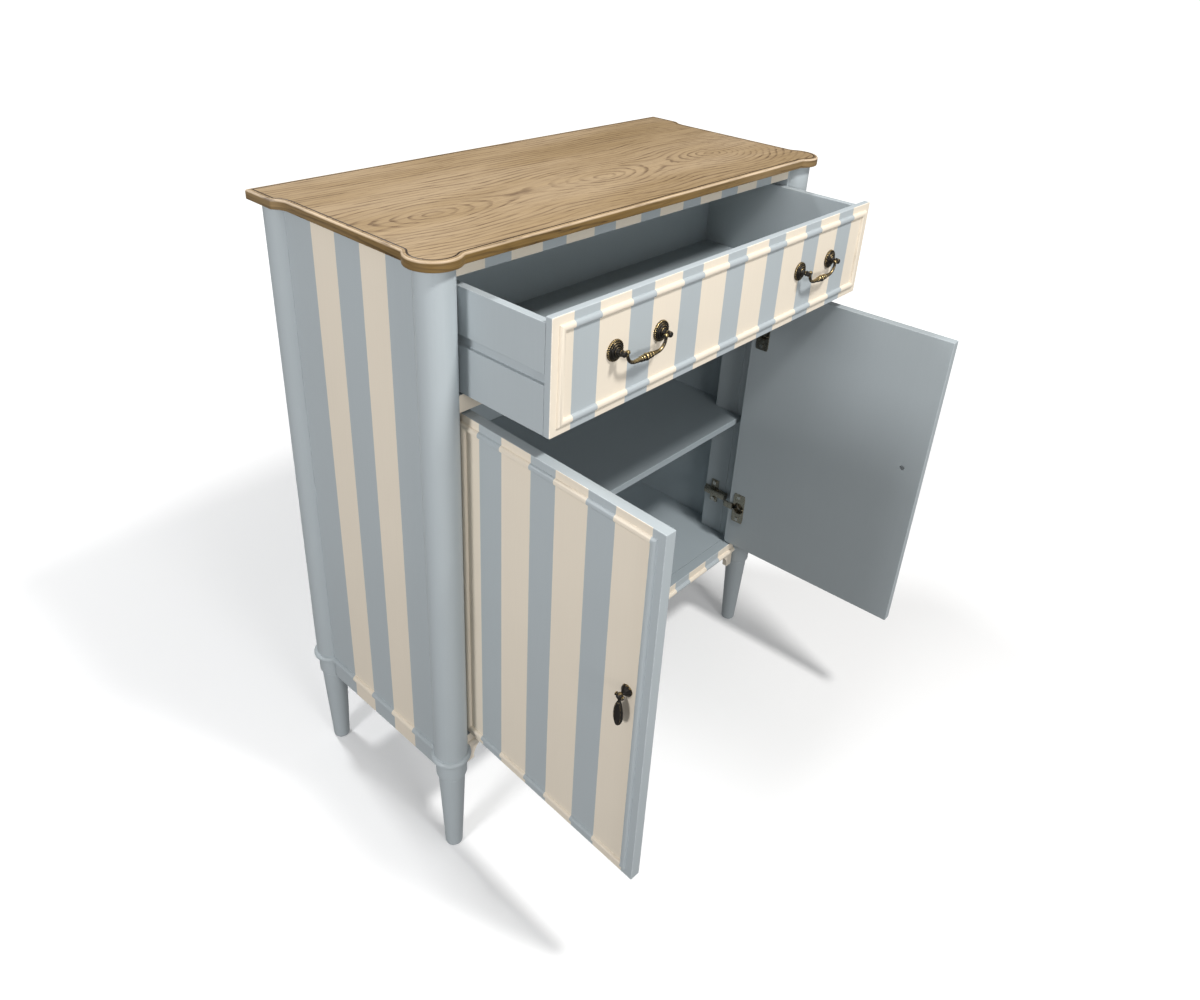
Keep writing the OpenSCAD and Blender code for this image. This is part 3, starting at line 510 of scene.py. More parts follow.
def grain_group(name):
    """Flat-sawn oak: nested rings drawn out along X round two heart lines, pores, slow tone."""
    tree, given, result = new_group(name, [
        ("Place", "Vector", (0, 0, 0)), ("Light", "Color", (0.5, 0.4, 0.25, 1)),
        ("Dark", "Color", (0.3, 0.2, 0.1, 1)), ("Rings", "Float", 1.0), ("Pores", "Float", 1.0)],
        [("Colour", "Color"), ("Roughness", "Float"), ("Height", "Float")])
    where = given["Place"]
    axes = put(tree, "ShaderNodeSeparateXYZ", {0: where}).outputs
    swing = noise(tree, stretched(tree, where, (2.8, 0.02, 0.02), shift=(3.1, 0, 0)), 1.0, 1.0)
    heart = calc(tree, "MULTIPLY_ADD", axes["X"], -0.035, 0.104)
    heart = calc(tree, "MULTIPLY_ADD", calc(tree, "SUBTRACT", swing, 0.5), 0.05, heart)
    across = calc(tree, "SUBTRACT", axes["Y"], heart)
    # the cut runs in and out of the heart of the log, which closes the rings to ovals
    wave = calc(tree, "SINE", calc(tree, "MULTIPLY_ADD", axes["X"], math.pi / 0.3,
                                   math.pi * 0.285 / 0.3))
    leave = calc(tree, "MAXIMUM", calc(tree, "SUBTRACT", axes["X"], 0.13), 0.0)
    depth = calc(tree, "MULTIPLY_ADD", wave, 0.041, calc(tree, "MULTIPLY", leave, 0.2))
    radius = calc(tree, "SQRT", calc(tree, "ADD", calc(tree, "MULTIPLY", across, across),
                                     calc(tree, "MULTIPLY", depth, depth)))
    for scale, size in (((2.4, 7.0, 7.0), 0.032), ((9.0, 30.0, 30.0), 0.009),
                        ((26.0, 120.0, 120.0), 0.0035)):
        drift = noise(tree, stretched(tree, where, scale), 1.0, 2.0, 0.6)
        radius = calc(tree, "MULTIPLY_ADD", calc(tree, "SUBTRACT", drift, 0.5), size, radius)
    turn = calc(tree, "FRACT", calc(tree, "MULTIPLY", radius, 116.0))
    rise = ramp(tree, turn, 0.50, 0.86)
    fall = ramp(tree, turn, 0.88, 1.0, 1.0, 0.0)
    late = calc(tree, "MULTIPLY", calc(tree, "MULTIPLY", rise, fall), given["Rings"])
    broken = ramp(tree, noise(tree, stretched(tree, where, (7.0, 60.0, 60.0)), 1.0, 3.0, 0.6),
                  0.36, 0.62, 0.14, 1.0)
    late = calc(tree, "MULTIPLY", late, broken)
    pore = noise(tree, stretched(tree, where, (34.0, 420.0, 420.0)), 1.0, 2.0, 0.55)
    pore = calc(tree, "MULTIPLY", ramp(tree, pore, 0.56, 0.68), given["Pores"])
    pore = calc(tree, "MULTIPLY", pore, calc(tree, "MULTIPLY_ADD", late, 0.6, 0.4))
    fibre = noise(tree, stretched(tree, where, (7.0, 300.0, 300.0)), 1.0, 5.0, 0.7)
    fibre = ramp(tree, fibre, 0.38, 0.66)
    share = calc(tree, "MULTIPLY_ADD", late, 0.66,
                 calc(tree, "MULTIPLY_ADD", pore, 0.60, calc(tree, "MULTIPLY", fibre, 0.30)),
                 clamp=True)
    base = blend_colours(tree, share, given["Light"], given["Dark"])
    tone = noise(tree, stretched(tree, where, (2.6, 12.0, 12.0)), 1.0, 3.0)
    toned = put(tree, "ShaderNodeHueSaturation",
                {"Color": base, "Value": ramp(tree, tone, 0.3, 0.7, 0.84, 1.14),
                 "Saturation": ramp(tree, tone, 0.25, 0.75, 1.12, 0.92)})
    tree.links.new(toned.outputs[0], result["Colour"])
    rough = calc(tree, "MULTIPLY_ADD", pore, 0.2, calc(tree, "MULTIPLY_ADD", late, 0.1, 0.44))
    tree.links.new(rough, result["Roughness"])
    height = calc(tree, "SUBTRACT", calc(tree, "MULTIPLY", fibre, -0.35), pore)
    tree.links.new(calc(tree, "MULTIPLY_ADD", late, -0.4, height), result["Height"])
    return tree


def metal_group(name):
    """Aged metal: dark patina in the hollows and in drifts, painted shade on faces that look down, bare
    metal where hands rub.
    """
    tree, given, result = new_group(name, [
        ("Bare", "Color", (0.5, 0.4, 0.2, 1)), ("Patina", "Color", (0.03, 0.02, 0.015, 1)),
        ("Ageing", "Float", 0.5)],
        [("Colour", "Color"), ("Metallic", "Float"), ("Roughness", "Float"), ("Height", "Float")])
    where = put(tree, "ShaderNodeTexCoord").outputs["Object"]
    hollow = put(tree, "ShaderNodeAttribute", attribute_name="hollow").outputs["Fac"]
    drift = noise(tree, where, 260.0, 4.0, 0.65)
    fine = noise(tree, where, 1400.0, 3.0, 0.6)
    depth = calc(tree, "MULTIPLY_ADD", calc(tree, "SUBTRACT", drift, 0.5), 0.4, hollow)
    # Painted shade: the more a face looks down, the further it is pushed into the dark patina colour.
    facing = put(tree, "ShaderNodeNewGeometry").outputs["Normal"]
    up = put(tree, "ShaderNodeSeparateXYZ", {0: facing}).outputs["Z"]
    depth = calc(tree, "MULTIPLY_ADD", up, -0.16, depth)
    depth = calc(tree, "ADD", depth, calc(tree, "SUBTRACT", given["Ageing"], 0.5))
    dark = ramp(tree, depth, 0.38, 0.50)
    tint = put(tree, "ShaderNodeHueSaturation", {"Color": given["Bare"],
                                                 "Value": ramp(tree, fine, 0.3, 0.7, 0.8, 1.12)})
    tree.links.new(blend_colours(tree, dark, tint.outputs[0], given["Patina"]), result["Colour"])
    tree.links.new(ramp(tree, dark, 0.0, 1.0, 1.0, 0.4), result["Metallic"])
    rough = calc(tree, "MULTIPLY_ADD", dark, 0.18, calc(tree, "MULTIPLY_ADD", drift, 0.16, 0.20))
    tree.links.new(rough, result["Roughness"])
    tree.links.new(fine, result["Height"])
    return tree


GROUPS = {"Brushed paint": paint_group, "Stripes": stripe_group, "Oak grain": grain_group,
          "Aged metal": metal_group}


def new_material(name):
    material = bpy.data.materials.new(name)
    material.use_nodes = True
    tree = material.node_tree
    return material, tree, tree.nodes["Principled BSDF"]


def bump(tree, shader, height, strength, distance):
    node = put(tree, "ShaderNodeBump", {"Height": height, "Strength": strength, "Distance": distance})
    tree.links.new(node.outputs[0], shader.inputs["Normal"])


def colour(values):
    return (values[0], values[1], values[2], 1.0)


def painted(name, tone, mask=None, second=None, scuffs=0.25, edge_wear_and_highlight=0.6):
    """A painted finish of one colour, or of two divided by a mask built by the mask function."""
    found = bpy.data.materials.get(name)
    if found:
        return found
    material, tree, shader = new_material(name)
    shown = colour(tone)
    if mask:
        shown = blend_colours(tree, mask(tree), colour(tone), colour(second))
    paint = use_group(tree, "Brushed paint", {"Colour": shown, "Scuffs": scuffs, "Edge wear and highlight": edge_wear_and_highlight})
    tree.links.new(paint["Colour"], shader.inputs["Base Color"])
    tree.links.new(paint["Roughness"], shader.inputs["Roughness"])
    shader.inputs["Specular IOR Level"].default_value = 0.4
    bump(tree, shader, paint["Height"], 0.25, 0.0002)
    return material


def along_axis(axis, start, first, second, low=None, high=None):
    """A mask function for stripes that run across one axis of the piece, from a start in metres."""
    def build(tree):
        where = put(tree, "ShaderNodeTexCoord").outputs["Object"]
        value = put(tree, "ShaderNodeSeparateXYZ", {0: where}).outputs[axis]
        if low is not None:
            value = calc(tree, "MINIMUM", calc(tree, "MAXIMUM", value, low), high)
        value = calc(tree, "SUBTRACT", value, start)
        return use_group(tree, "Stripes", {"Along": value, "First width": first,
                                           "Second width": second})["Mask"]
    return build


def front_stripes(name, first_blue, cream_width):
    """Painted stripes across the front; first_blue is where the first blue stripe starts."""
    look = bpy.context.scene.cabinet_colours
    blue_width = bpy.context.scene.cabinet_sizes.blue_stripe
    mask = along_axis("X", first_blue - cream_width, cream_width, blue_width)
    return painted(name, look.cream, mask, look.blue)


def paints():
    """The cabinet's paint finishes."""
    look = bpy.context.scene.cabinet_colours
    cut = bpy.context.scene.cabinet_sizes
    side_low, side_high = node_box("right_side_panel")
    side = along_axis("Y", cut.side_start, cut.side_cream, cut.side_blue,
                      side_low.y, cut.side_start + 2 * (cut.side_cream + cut.side_blue) - MM)
    return {
        "plain": painted("Blue-grey paint", look.blue),
        # Inside boards get the darker copy of the blue-grey: painted shade.
        "inner": painted("Inside paint", look.inside, scuffs=0.35),
        "cream": painted("Cream paint", look.cream),
        "side": painted("Side stripes", look.cream, side, look.blue),
        "top": front_stripes("Top rail stripes", cut.top_rail_blue, cut.cream_stripe),
        "bottom": front_stripes("Bottom rail stripes", cut.bottom_rail_blue, cut.cream_stripe),
        "drawer": front_stripes("Drawer stripes", cut.drawer_blue, cut.drawer_cream),
        "doors": front_stripes("Door stripes", cut.door_blue, cut.cream_stripe),
    }


def front_only(middle, normal):
    """Stripes on what faces the front, plain paint on the rest."""
    return 0 if normal.y < -0.6 else 1


def outer_side(sign):
    """Stripes on the outer face of a side panel, inside paint on its inner face."""
    return lambda middle, normal: 1 if normal.x * sign < -0.3 else 0


def oak(name, light, dark, rings, pores, by_run=False):
    """Oak finish. by_run lays the grain along the outline of the piece instead of along X."""
    found = bpy.data.materials.get(name)
    if found:
        return found
    material, tree, shader = new_material(name)
    where = put(tree, "ShaderNodeTexCoord").outputs["Object"]
    if by_run:
        run = put(tree, "ShaderNodeAttribute", attribute_name="run").outputs["Fac"]
        level = put(tree, "ShaderNodeSeparateXYZ", {0: where}).outputs["Z"]
        where = put(tree, "ShaderNodeCombineXYZ", {0: run, 1: level, 2: 0.37}).outputs[0]
    wood = use_group(tree, "Oak grain", {"Place": where, "Light": colour(light),
                                         "Dark": colour(dark), "Rings": rings, "Pores": pores})
    # Painted highlight: the marked arris rings are turned much paler than the oak.
    arris = put(tree, "ShaderNodeAttribute", attribute_name="arris").outputs["Fac"]
    pale = put(tree, "ShaderNodeHueSaturation", {"Color": wood["Colour"], "Value": 2.9,
                                                 "Saturation": 0.62})
    arris_highlight = blend_colours(tree, calc(tree, "MULTIPLY", arris, 0.85), wood["Colour"],
                           pale.outputs[0])
    tree.links.new(arris_highlight, shader.inputs["Base Color"])
    tree.links.new(wood["Roughness"], shader.inputs["Roughness"])
    shader.inputs["Specular IOR Level"].default_value = 0.3
    bump(tree, shader, wood["Height"], 0.35, 0.0003)
    return material


def metal(name, bare, patina, ageing):
    found = bpy.data.materials.get(name)
    if found:
        return found
    material, tree, shader = new_material(name)
    aged = use_group(tree, "Aged metal", {"Bare": colour(bare), "Patina": colour(patina),
                                          "Ageing": ageing})
    tree.links.new(aged["Colour"], shader.inputs["Base Color"])
    tree.links.new(aged["Metallic"], shader.inputs["Metallic"])
    tree.links.new(aged["Roughness"], shader.inputs["Roughness"])
    bump(tree, shader, aged["Height"], 0.12, 0.0002)
    return material


def brass(kind="Aged brass", ageing=0.5):
    look = bpy.context.scene.cabinet_colours
    return metal(kind, look.brass, look.patina, ageing)


def hinge_steel():
    look = bpy.context.scene.cabinet_colours
    return metal("Hinge steel", look.hinge, look.patina, 0.42)


def screw_steel():
    look = bpy.context.scene.cabinet_colours
    return metal("Screw steel", look.screw, look.patina, 0.30)


def groove_material():
    # The engraved groove is given oak colours far darker than the top around it.
    look = bpy.context.scene.cabinet_colours
    return oak("Darkened groove", [v * 0.35 for v in look.oak_dark], [v * 0.2 for v in look.oak_dark],
               0.3, 0.6)


# Sizes and colours that a user may change

class CabinetSizes(bpy.types.PropertyGroup):
    """Sizes of the details that the CAD frame leaves open"""

    cream_stripe: FloatProperty(
        name="Cream stripe", description="Width of each cream stripe on the doors and rails",
        default=50.8 * MM, min=0.01, max=0.2, unit="LENGTH")
    drawer_cream: FloatProperty(
        name="Drawer cream stripe", description="Width of each cream stripe on the drawer",
        default=51.5 * MM, min=0.01, max=0.2, unit="LENGTH")
    blue_stripe: FloatProperty(
        name="Blue stripe", description="Width of each blue stripe on the front",
        default=40.5 * MM, min=0.01, max=0.2, unit="LENGTH")
    door_blue: FloatProperty(
        name="Door stripes start", description="Where the first blue stripe of the doors starts",
        default=-293.5 * MM, unit="LENGTH")
    drawer_blue: FloatProperty(
        name="Drawer stripes start", description="Where the drawer's first blue stripe starts",
        default=-305 * MM, unit="LENGTH")
    top_rail_blue: FloatProperty(
        name="Top rail stripes start", description="Where the top rail's first blue stripe starts",
        default=-298 * MM, unit="LENGTH")
    bottom_rail_blue: FloatProperty(
        name="Bottom rail stripes start",
        description="Where the bottom rail's first blue stripe starts",
        default=-302.5 * MM, unit="LENGTH")
    side_start: FloatProperty(
        name="Side stripes start", description="Where the first cream stripe of a side starts",
        default=77.3 * MM, unit="LENGTH")
    side_cream: FloatProperty(
        name="Side cream stripe", description="Width of each cream stripe on a side",
        default=49.7 * MM, min=0.01, max=0.2, unit="LENGTH")
    side_blue: FloatProperty(
        name="Side blue stripe", description="Width of each blue stripe on a side",
        default=49.8 * MM, min=0.01, max=0.2, unit="LENGTH")
    arris: FloatProperty(
        name="Board arris", description="Rounding of the boards' edges",
        default=1.0 * MM, min=0.0002, max=0.003, unit="LENGTH")
    top_arris: FloatProperty(
        name="Top arris", description="Rounding of the upper edge of the top",
        default=2.8 * MM, min=0.0005, max=0.005, unit="LENGTH")
    groove_in: FloatProperty(
        name="Groove distance", description="Distance of the engraved line from the top's edge",
        default=7.5 * MM, min=0.003, max=0.03, unit="LENGTH")
    groove_w: FloatProperty(
        name="Groove width", description="Width of the engraved line",
        default=2.4 * MM, min=0.0004, max=0.004, unit="LENGTH")
    rope_turns: IntProperty(
        name="Rope turns", description="Twists in the rope ring of each drawer pull rosette",
        default=30, min=8, max=60)
    flutes: IntProperty(
        name="Flutes", description="Flutes round the base of each door pull",
        default=8, min=5, max=16)


class CabinetColours(bpy.types.PropertyGroup):
    """Colours of the finishes"""

    blue: FloatVectorProperty(
        name="Blue-grey", description="Blue-grey paint", subtype="COLOR",
        default=(0.435, 0.480, 0.500), min=0, max=1)
    cream: FloatVectorProperty(
        name="Cream", description="Cream paint", subtype="COLOR",
        default=(0.81, 0.725, 0.600), min=0, max=1)
    # A darker copy of the blue-grey paint, as painted shade inside the case and the drawer.
    inside: FloatVectorProperty(
        name="Inside", description="Paint inside the case and the drawer", subtype="COLOR",
        default=(0.37, 0.42, 0.445), min=0, max=1)
    oak_light: FloatVectorProperty(
        name="Oak, light", description="Early wood of the top", subtype="COLOR",
        default=(0.385, 0.272, 0.150), min=0, max=1)
    oak_dark: FloatVectorProperty(
        name="Oak, dark", description="Late wood and pores of the top", subtype="COLOR",
        default=(0.12, 0.070, 0.034), min=0, max=1)
    edge_light: FloatVectorProperty(
        name="Edge, light", description="Bronze stain of the top's edge", subtype="COLOR",
        default=(0.250, 0.163, 0.070), min=0, max=1)
    edge_dark: FloatVectorProperty(
        name="Edge, dark", description="Dark streaks in the top's edge", subtype="COLOR",
        default=(0.055, 0.032, 0.015), min=0, max=1)
    brass: FloatVectorProperty(
        name="Brass", description="Bare brass of the pulls", subtype="COLOR",
        default=(0.55, 0.41, 0.20), min=0, max=1)
    patina: FloatVectorProperty(
        name="Patina", description="Dark patina in the hollows of the metal", subtype="COLOR",
        default=(0.014, 0.011, 0.008), min=0, max=1)
    hinge: FloatVectorProperty(
        name="Hinge steel", description="Bronzed steel of the hinges", subtype="COLOR",
        default=(0.34, 0.31, 0.25), min=0, max=1)
    screw: FloatVectorProperty(
        name="Screw steel", description="Steel of the screws", subtype="COLOR",
        default=(0.55, 0.53, 0.48), min=0, max=1)
    runner: FloatVectorProperty(
        name="Runner wood", description="Bare wood of runners, stops and cleats", subtype="COLOR",
        default=(0.42, 0.31, 0.19), min=0, max=1)


class CabinetOperator:
    """What the cabinet's operators share"""

    bl_options = {"REGISTER", "UNDO"}

    @property
    def sizes(self):
        return bpy.context.scene.cabinet_sizes

    @property
    def colours(self):
        return bpy.context.scene.cabinet_colours


# The top

def top_outline(depth):
    """Outline of the top, moved inwards by depth, from the right front round to the left front."""
    low, high = node_box("top_panel")
    post_low, post_high = node_box("front_right_post")
    post_r = 24 * MM
    axis_x = post_high.x - post_r
    axis_y = post_low.y + post_r
    lobe = high.x - axis_x
    side = high.x - 10 * MM
    front = -20 * MM
    cove = 10 * MM
    back_cove = 30 * MM
    back_r = 6 * MM
    back_l = 60 * MM

    def tangent(d, r, f):
        """Centre of the hollow curve between a circle at the origin and the line x = d."""
        return d + f, math.sqrt((r + f) ** 2 - (d + f) ** 2)

    points = []
    # front cove: between the front line and the lobe; seen from the axis, swap x and y
    d = axis_y - front
    c, s = tangent(d, lobe, cove)
    centre = (axis_x - s, axis_y - c)
    turn = math.degrees(math.atan2(c, s))
    points += arc(centre, cove + depth, 90, turn, 8)
    d2 = side - axis_x
    c2, s2 = tangent(d2, lobe, cove)
    turn2 = math.degrees(math.atan2(s2, c2))
    points += arc((axis_x, axis_y), lobe - depth, turn - 180, turn2, 48)
    centre = (axis_x + c2, axis_y + s2)
    points += arc(centre, cove + depth, 180 + turn2, 180, 8)
    corner = (high.x - back_r, high.y - back_l + back_r)
    d3 = side - corner[0]
    c3, s3 = tangent(d3, back_r, back_cove)
    turn3 = math.degrees(math.atan2(s3, c3))
    centre = (corner[0] + c3, corner[1] - s3)
    rounded = back_r - depth > 0.3 * MM
    if not rounded:
        # this far in, the hollow curve runs straight into the side line
        turn3 = math.degrees(math.acos((centre[0] - high.x + depth) / (back_cove + depth)))
    points += arc(centre, back_cove + depth, 180, 180 - turn3, 10)
    if rounded:
        points += arc(corner, back_r - depth, -turn3, 0, 8)
    else:
        points += [(high.x - depth, points[-1][1] + 0.1 * MM * i) for i in range(1, 10)]
    points += [(high.x - depth, high.y - depth)]
    left = [(-x, y) for x, y in reversed(points)]
    return points + left


class CABINET_OT_top(CabinetOperator, bpy.types.Operator):
    """Oak-veneered top with a soft upper edge and an engraved line"""

    bl_idname = "cabinet.top"
    bl_label = "Top"

    def execute(self, context):
        low, high = node_box("top_panel")
        soft, deep, wide = self.sizes.top_arris, self.sizes.groove_in, self.sizes.groove_w
        rings = [(1.2 * MM, low.z, 0, 1), (0.4 * MM, low.z + 0.4 * MM, 0, 1),
                 (0, low.z + 1.2 * MM, 0, 1), (0, high.z - soft - 0.5 * MM, 0, 1)]
        # The middle rings of the rounded upper edge carry the arris mark, which the oak finish paints as a
        # pale highlight.
        for i in range(5):
            t = math.radians(22.5 * i)
            rings.append((soft * (1 - math.cos(t)), high.z - soft * (1 - math.sin(t)),
                          0.0 if i in (0, 4) else 1.0, 1))
        rings += [(deep - wide, high.z, 0, 0), (deep - wide * 0.75, high.z - 0.25 * MM, 0, 2),
                  (deep - wide / 2, high.z - 0.6 * MM, 0, 2),
                  (deep - wide * 0.25, high.z - 0.25 * MM, 0, 2), (deep, high.z, 0, 2)]
        shape = Shape()
        made = []
        plan = top_outline(0)
        half = len(plan) // 2
        runs = [plan[0][0]]
        for a, b in zip(plan[:half], plan[1:half]):
            runs.append(runs[-1] + math.dist(a, b))
        runs += [-run for run in reversed(runs)]
        for depth, level, mark, slot in rings:
            points = [(x, y, level) for x, y in top_outline(depth)]
            made.append((shape.ring(points, mark, runs), slot))
        for (a, _), (b, slot) in zip(made, made[1:]):
            shape.bridge(a, b, slot)
        shape.face(list(reversed(made[0][0])), 1)
        shape.face(made[-1][0], 0)
        look = self.colours
        finishes = [oak("Oak veneer", look.oak_light, look.oak_dark, 1.0, 1.0),
                    oak("Oak edge", look.edge_light, look.edge_dark, 0.7, 1.0, by_run=True),
                    groove_material()]
        make_piece("oak_top", shape, finishes, "cabinet", ["top_panel"], crease=50)
        return {"FINISHED"}


# The case

def post_outline(node):
    """Plan of a post on the right: its round face and the square part beside the opening."""
    low, high = node_box(node)
    radius = 24 * MM
    axis = (high.x - radius, low.y + radius if "front" in node else high.y - radius)
    if "front" in node:
        inner_y, flat = high.y, 0.0
        start = math.degrees(math.asin((flat - axis[1]) / radius))
        rim = arc(axis, radius, -180 - start, 92.4, 60)
        return [(low.x, flat)] + rim + [(axis[0] - MM, inner_y), (low.x, inner_y)]
    seat = node_box("back_panel")[0].y
    end = 180 - math.degrees(math.asin((seat - axis[1]) / radius))
    return [(low.x, low.y)] + arc(axis, radius, -90, end, 60) + [(low.x, seat)]


class CABINET_OT_posts(CabinetOperator, bpy.types.Operator):
    """Four corner posts with a round outer face"""

    bl_idname = "cabinet.posts"
    bl_label = "Posts"

    def execute(self, context):
        for row in ("front", "back"):
            node = f"{row}_right_post"
            low, high = node_box(node)
            outline = post_outline(node)
            for side, sign in SIDES.items():
                loop = outline if sign > 0 else [(-x, y) for x, y in reversed(outline)]
                shape = slab(loop, low.z, high.z, 0.8 * MM, 1.2 * MM)
                make_piece(f"post_{row}_{side}", shape, [paints()["plain"]], "cabinet",
                           [f"{row}_{side}_post"])
        return {"FINISHED"}


class CABINET_OT_side_panels(CabinetOperator, bpy.types.Operator):
    """Striped side panels, each with an apron under the base bead"""

    bl_idname = "cabinet.side_panels"
    bl_label = "Side panels"

    def execute(self, context):
        for side in SIDES:
            low, high = node_box(f"{side}_side_panel")
            shape = board(low, high, self.sizes.arris, "X")
            make_piece(f"panel_{side}", shape, [paints()["side"], paints()["inner"]], "cabinet",
                       [f"{side}_side_panel"], finish=outer_side(SIDES[side]))
        return {"FINISHED"}


class CABINET_OT_rails(CabinetOperator, bpy.types.Operator):
    """Striped rails round the drawer and under the doors"""

    bl_idname = "cabinet.rails"
    bl_label = "Rails"

    def execute(self, context):
        for node, stripes in (("top_rail", "top"), ("middle_rail", "top"),
                              ("bottom_rail", "bottom")):
            low, high = node_box(node)
            shape = board(low, high, self.sizes.arris, "Y")
            make_piece(node.replace("_rail", "_front_rail"), shape,
                       [paints()[stripes], paints()["inner"]], "cabinet", [node],
                       finish=front_only)
        return {"FINISHED"}


class CABINET_OT_inner_boards(CabinetOperator, bpy.types.Operator):
    """Bottom, back, shelf and hinge battens"""

    bl_idname = "cabinet.inner_boards"
    bl_label = "Inner boards"

    def execute(self, context):
        inner = [paints()["inner"]]
        open_x = node_box("top_rail")[1].x
        batten = node_box("right_batten")
        for node, name in (("bottom_panel", "case_bottom"), ("shelf", "case_shelf")):
            low, high = node_box(node)
            front = low.y
            wide_from = node_box("front_right_post")[1].y
            if node == "shelf":
                wide_from = batten[1].y + 0.5 * MM
                open_at = open_x - 0.5 * MM
            else:
                open_at = open_x
            wide_to = node_box("back_right_post")[0].y - (0.5 * MM if node == "shelf" else 0)
            half = [(open_at, front), (open_at, wide_from), (high.x, wide_from),
                    (high.x, wide_to), (open_at, wide_to), (open_at, high.y)]
            loop = half + [(-x, y) for x, y in reversed(half)]
            arris = self.sizes.arris if node == "shelf" else 0.1 * MM
            make_piece(name, slab(loop, low.z, high.z, arris, 1.4 * MM), inner, "cabinet",
                       [node])
        low, high = node_box("back_panel")
        make_piece("case_back", board(low, high, 0.5 * MM, "Y"), inner, "cabinet",
                   ["back_panel"])
        low, high = node_box("back_rail")
        make_piece("case_back_rail", board(low, high, self.sizes.arris, "Y"), inner, "cabinet",
                   ["back_rail"])
        for side in SIDES:
            low, high = node_box(f"{side}_batten")
            make_piece(f"hinge_batten_{side}", board(low, high, self.sizes.arris, "Z"),
                       [paints()["plain"]], "cabinet", [f"{side}_batten"])
        return {"FINISHED"}


class CABINET_OT_brackets(CabinetOperator, bpy.types.Operator):
    """Curved brackets under the bottom rail, beside the front legs"""

    bl_idname = "cabinet.brackets"
    bl_label = "Brackets"

    def execute(self, context):
        low, high = node_box("right_bracket")
        hollow = (low.x, low.z)
        radius = high.z - low.z - 3 * MM
        foot = high.x - 14 * MM
        end = math.degrees(math.acos((foot - low.x) / radius))
        outline = ([(high.x, low.z), (high.x, high.z), (low.x, high.z)]
                   + arc(hollow, radius, 90, end, 14) + [(foot, low.z)])
        for side, sign in SIDES.items():
            loop = outline if sign > 0 else [(-x, z) for x, z in reversed(outline)]
            make_piece(f"curved_bracket_{side}", slab(loop, low.y, high.y, 0.8 * MM, 1.0 * MM, axis="Y"),
                       [paints()["cream"]], "cabinet", [f"{side}_bracket"])
        return {"FINISHED"}


def bead_stations():
    """Plan of the bead on the right: (x, y, outward x, outward y), from the front middle backwards."""
    post = node_box("front_right_post")
    radius = 24 * MM
    rise = 5 * MM
    axis_x = post[1].x - radius
    front_y = post[0].y + radius
    back_y = node_box("back_right_post")[1].y - radius
    side_x = node_box("right_side_panel")[1].x

    def meeting(d):
        """Where a face at distance d from the axis meets the round post, and the mitre there."""
        a = (d, math.sqrt(radius ** 2 - d ** 2))
        b = (d + rise, math.sqrt((radius + rise) ** 2 - (d + rise) ** 2))
        return a, ((b[0] - a[0]) / rise, (b[1] - a[1]) / rise)

    (d1, s1), (n1, m1) = meeting(front_y)
    (d2, s2), (n2, m2) = meeting(side_x - axis_x)
    front = [(0.0, 0.0, 0, -1), (axis_x - s1, front_y - d1, -m1, -n1)]
    a0 = -90 - math.degrees(math.asin(s1 / radius))
    a1 = math.degrees(math.asin(s2 / radius))

    def round_part(centre_y, start, end, count):
        made = []
        for x, y in arc((0, 0), 1, start, end, count):
            made.append((axis_x + radius * x, centre_y + radius * y, x, y))
        return made

    ring = round_part(front_y, a0, a1, 44)
    ring[0] = front[1]
    ring[-1] = (axis_x + d2, front_y + s2, n2, m2)
    side = [ring[-1], (axis_x + d2, back_y - s2, n2, -m2)]
    back = round_part(back_y, -a1, 60, 36)
    back[0] = side[1]
    return front, ring, side, back


def bead_shape(stations, low, closed_ends=True):
    """Half-round moulding along a line of stations."""
    shape = Shape()
    rise = 5 * MM
    rings = []
    for x, y, nx, ny in stations:
        points = []
        for i in range(13):
            t = math.pi * i / 12
            out = rise * math.sin(t)
            points.append((x + nx * out, y + ny * out, low + rise - rise * math.cos(t)))
        rings.append(shape.ring(points))
    for a, b in zip(rings, rings[1:]):
        shape.bridge(a, b)
    shape.face(list(rings[0]))
    shape.face(list(reversed(rings[-1])))
    return shape


class CABINET_OT_base_beads(CabinetOperator, bpy.types.Operator):
    """Half-round bead round the base"""

    bl_idname = "cabinet.base_beads"
    bl_label = "Base beads"

    def execute(self, context):
        low = node_box("front_base_bead")[0].z
        front, ring, side, back = bead_stations()
        flip = [(-x, y, -nx, ny) for x, y, nx, ny in reversed(front)]
        straight = flip[:1] + front[1:]
        finish = paints()
        make_piece("base_bead_front", bead_shape(straight, low), [finish["bottom"]], "cabinet",
                   ["front_base_bead"])
        for label, sign in SIDES.items():
            turned = [(x * sign, y, nx * sign, ny) for x, y, nx, ny in ring]
            make_piece(f"base_bead_post_{label}", bead_shape(turned, low), [finish["plain"]],
                       "cabinet")
            line = [(x * sign, y, nx * sign, ny) for x, y, nx, ny in side]
            rest = [(x * sign, y, nx * sign, ny) for x, y, nx, ny in back]
            shape = bead_shape(line, low)
            piece = make_piece(f"base_bead_side_{label}", shape, [finish["side"]], "cabinet",
                               [f"{label}_base_bead"])
            make_piece(f"base_bead_back_{label}", bead_shape(rest, low), [finish["plain"]],
                       "cabinet")
        return {"FINISHED"}


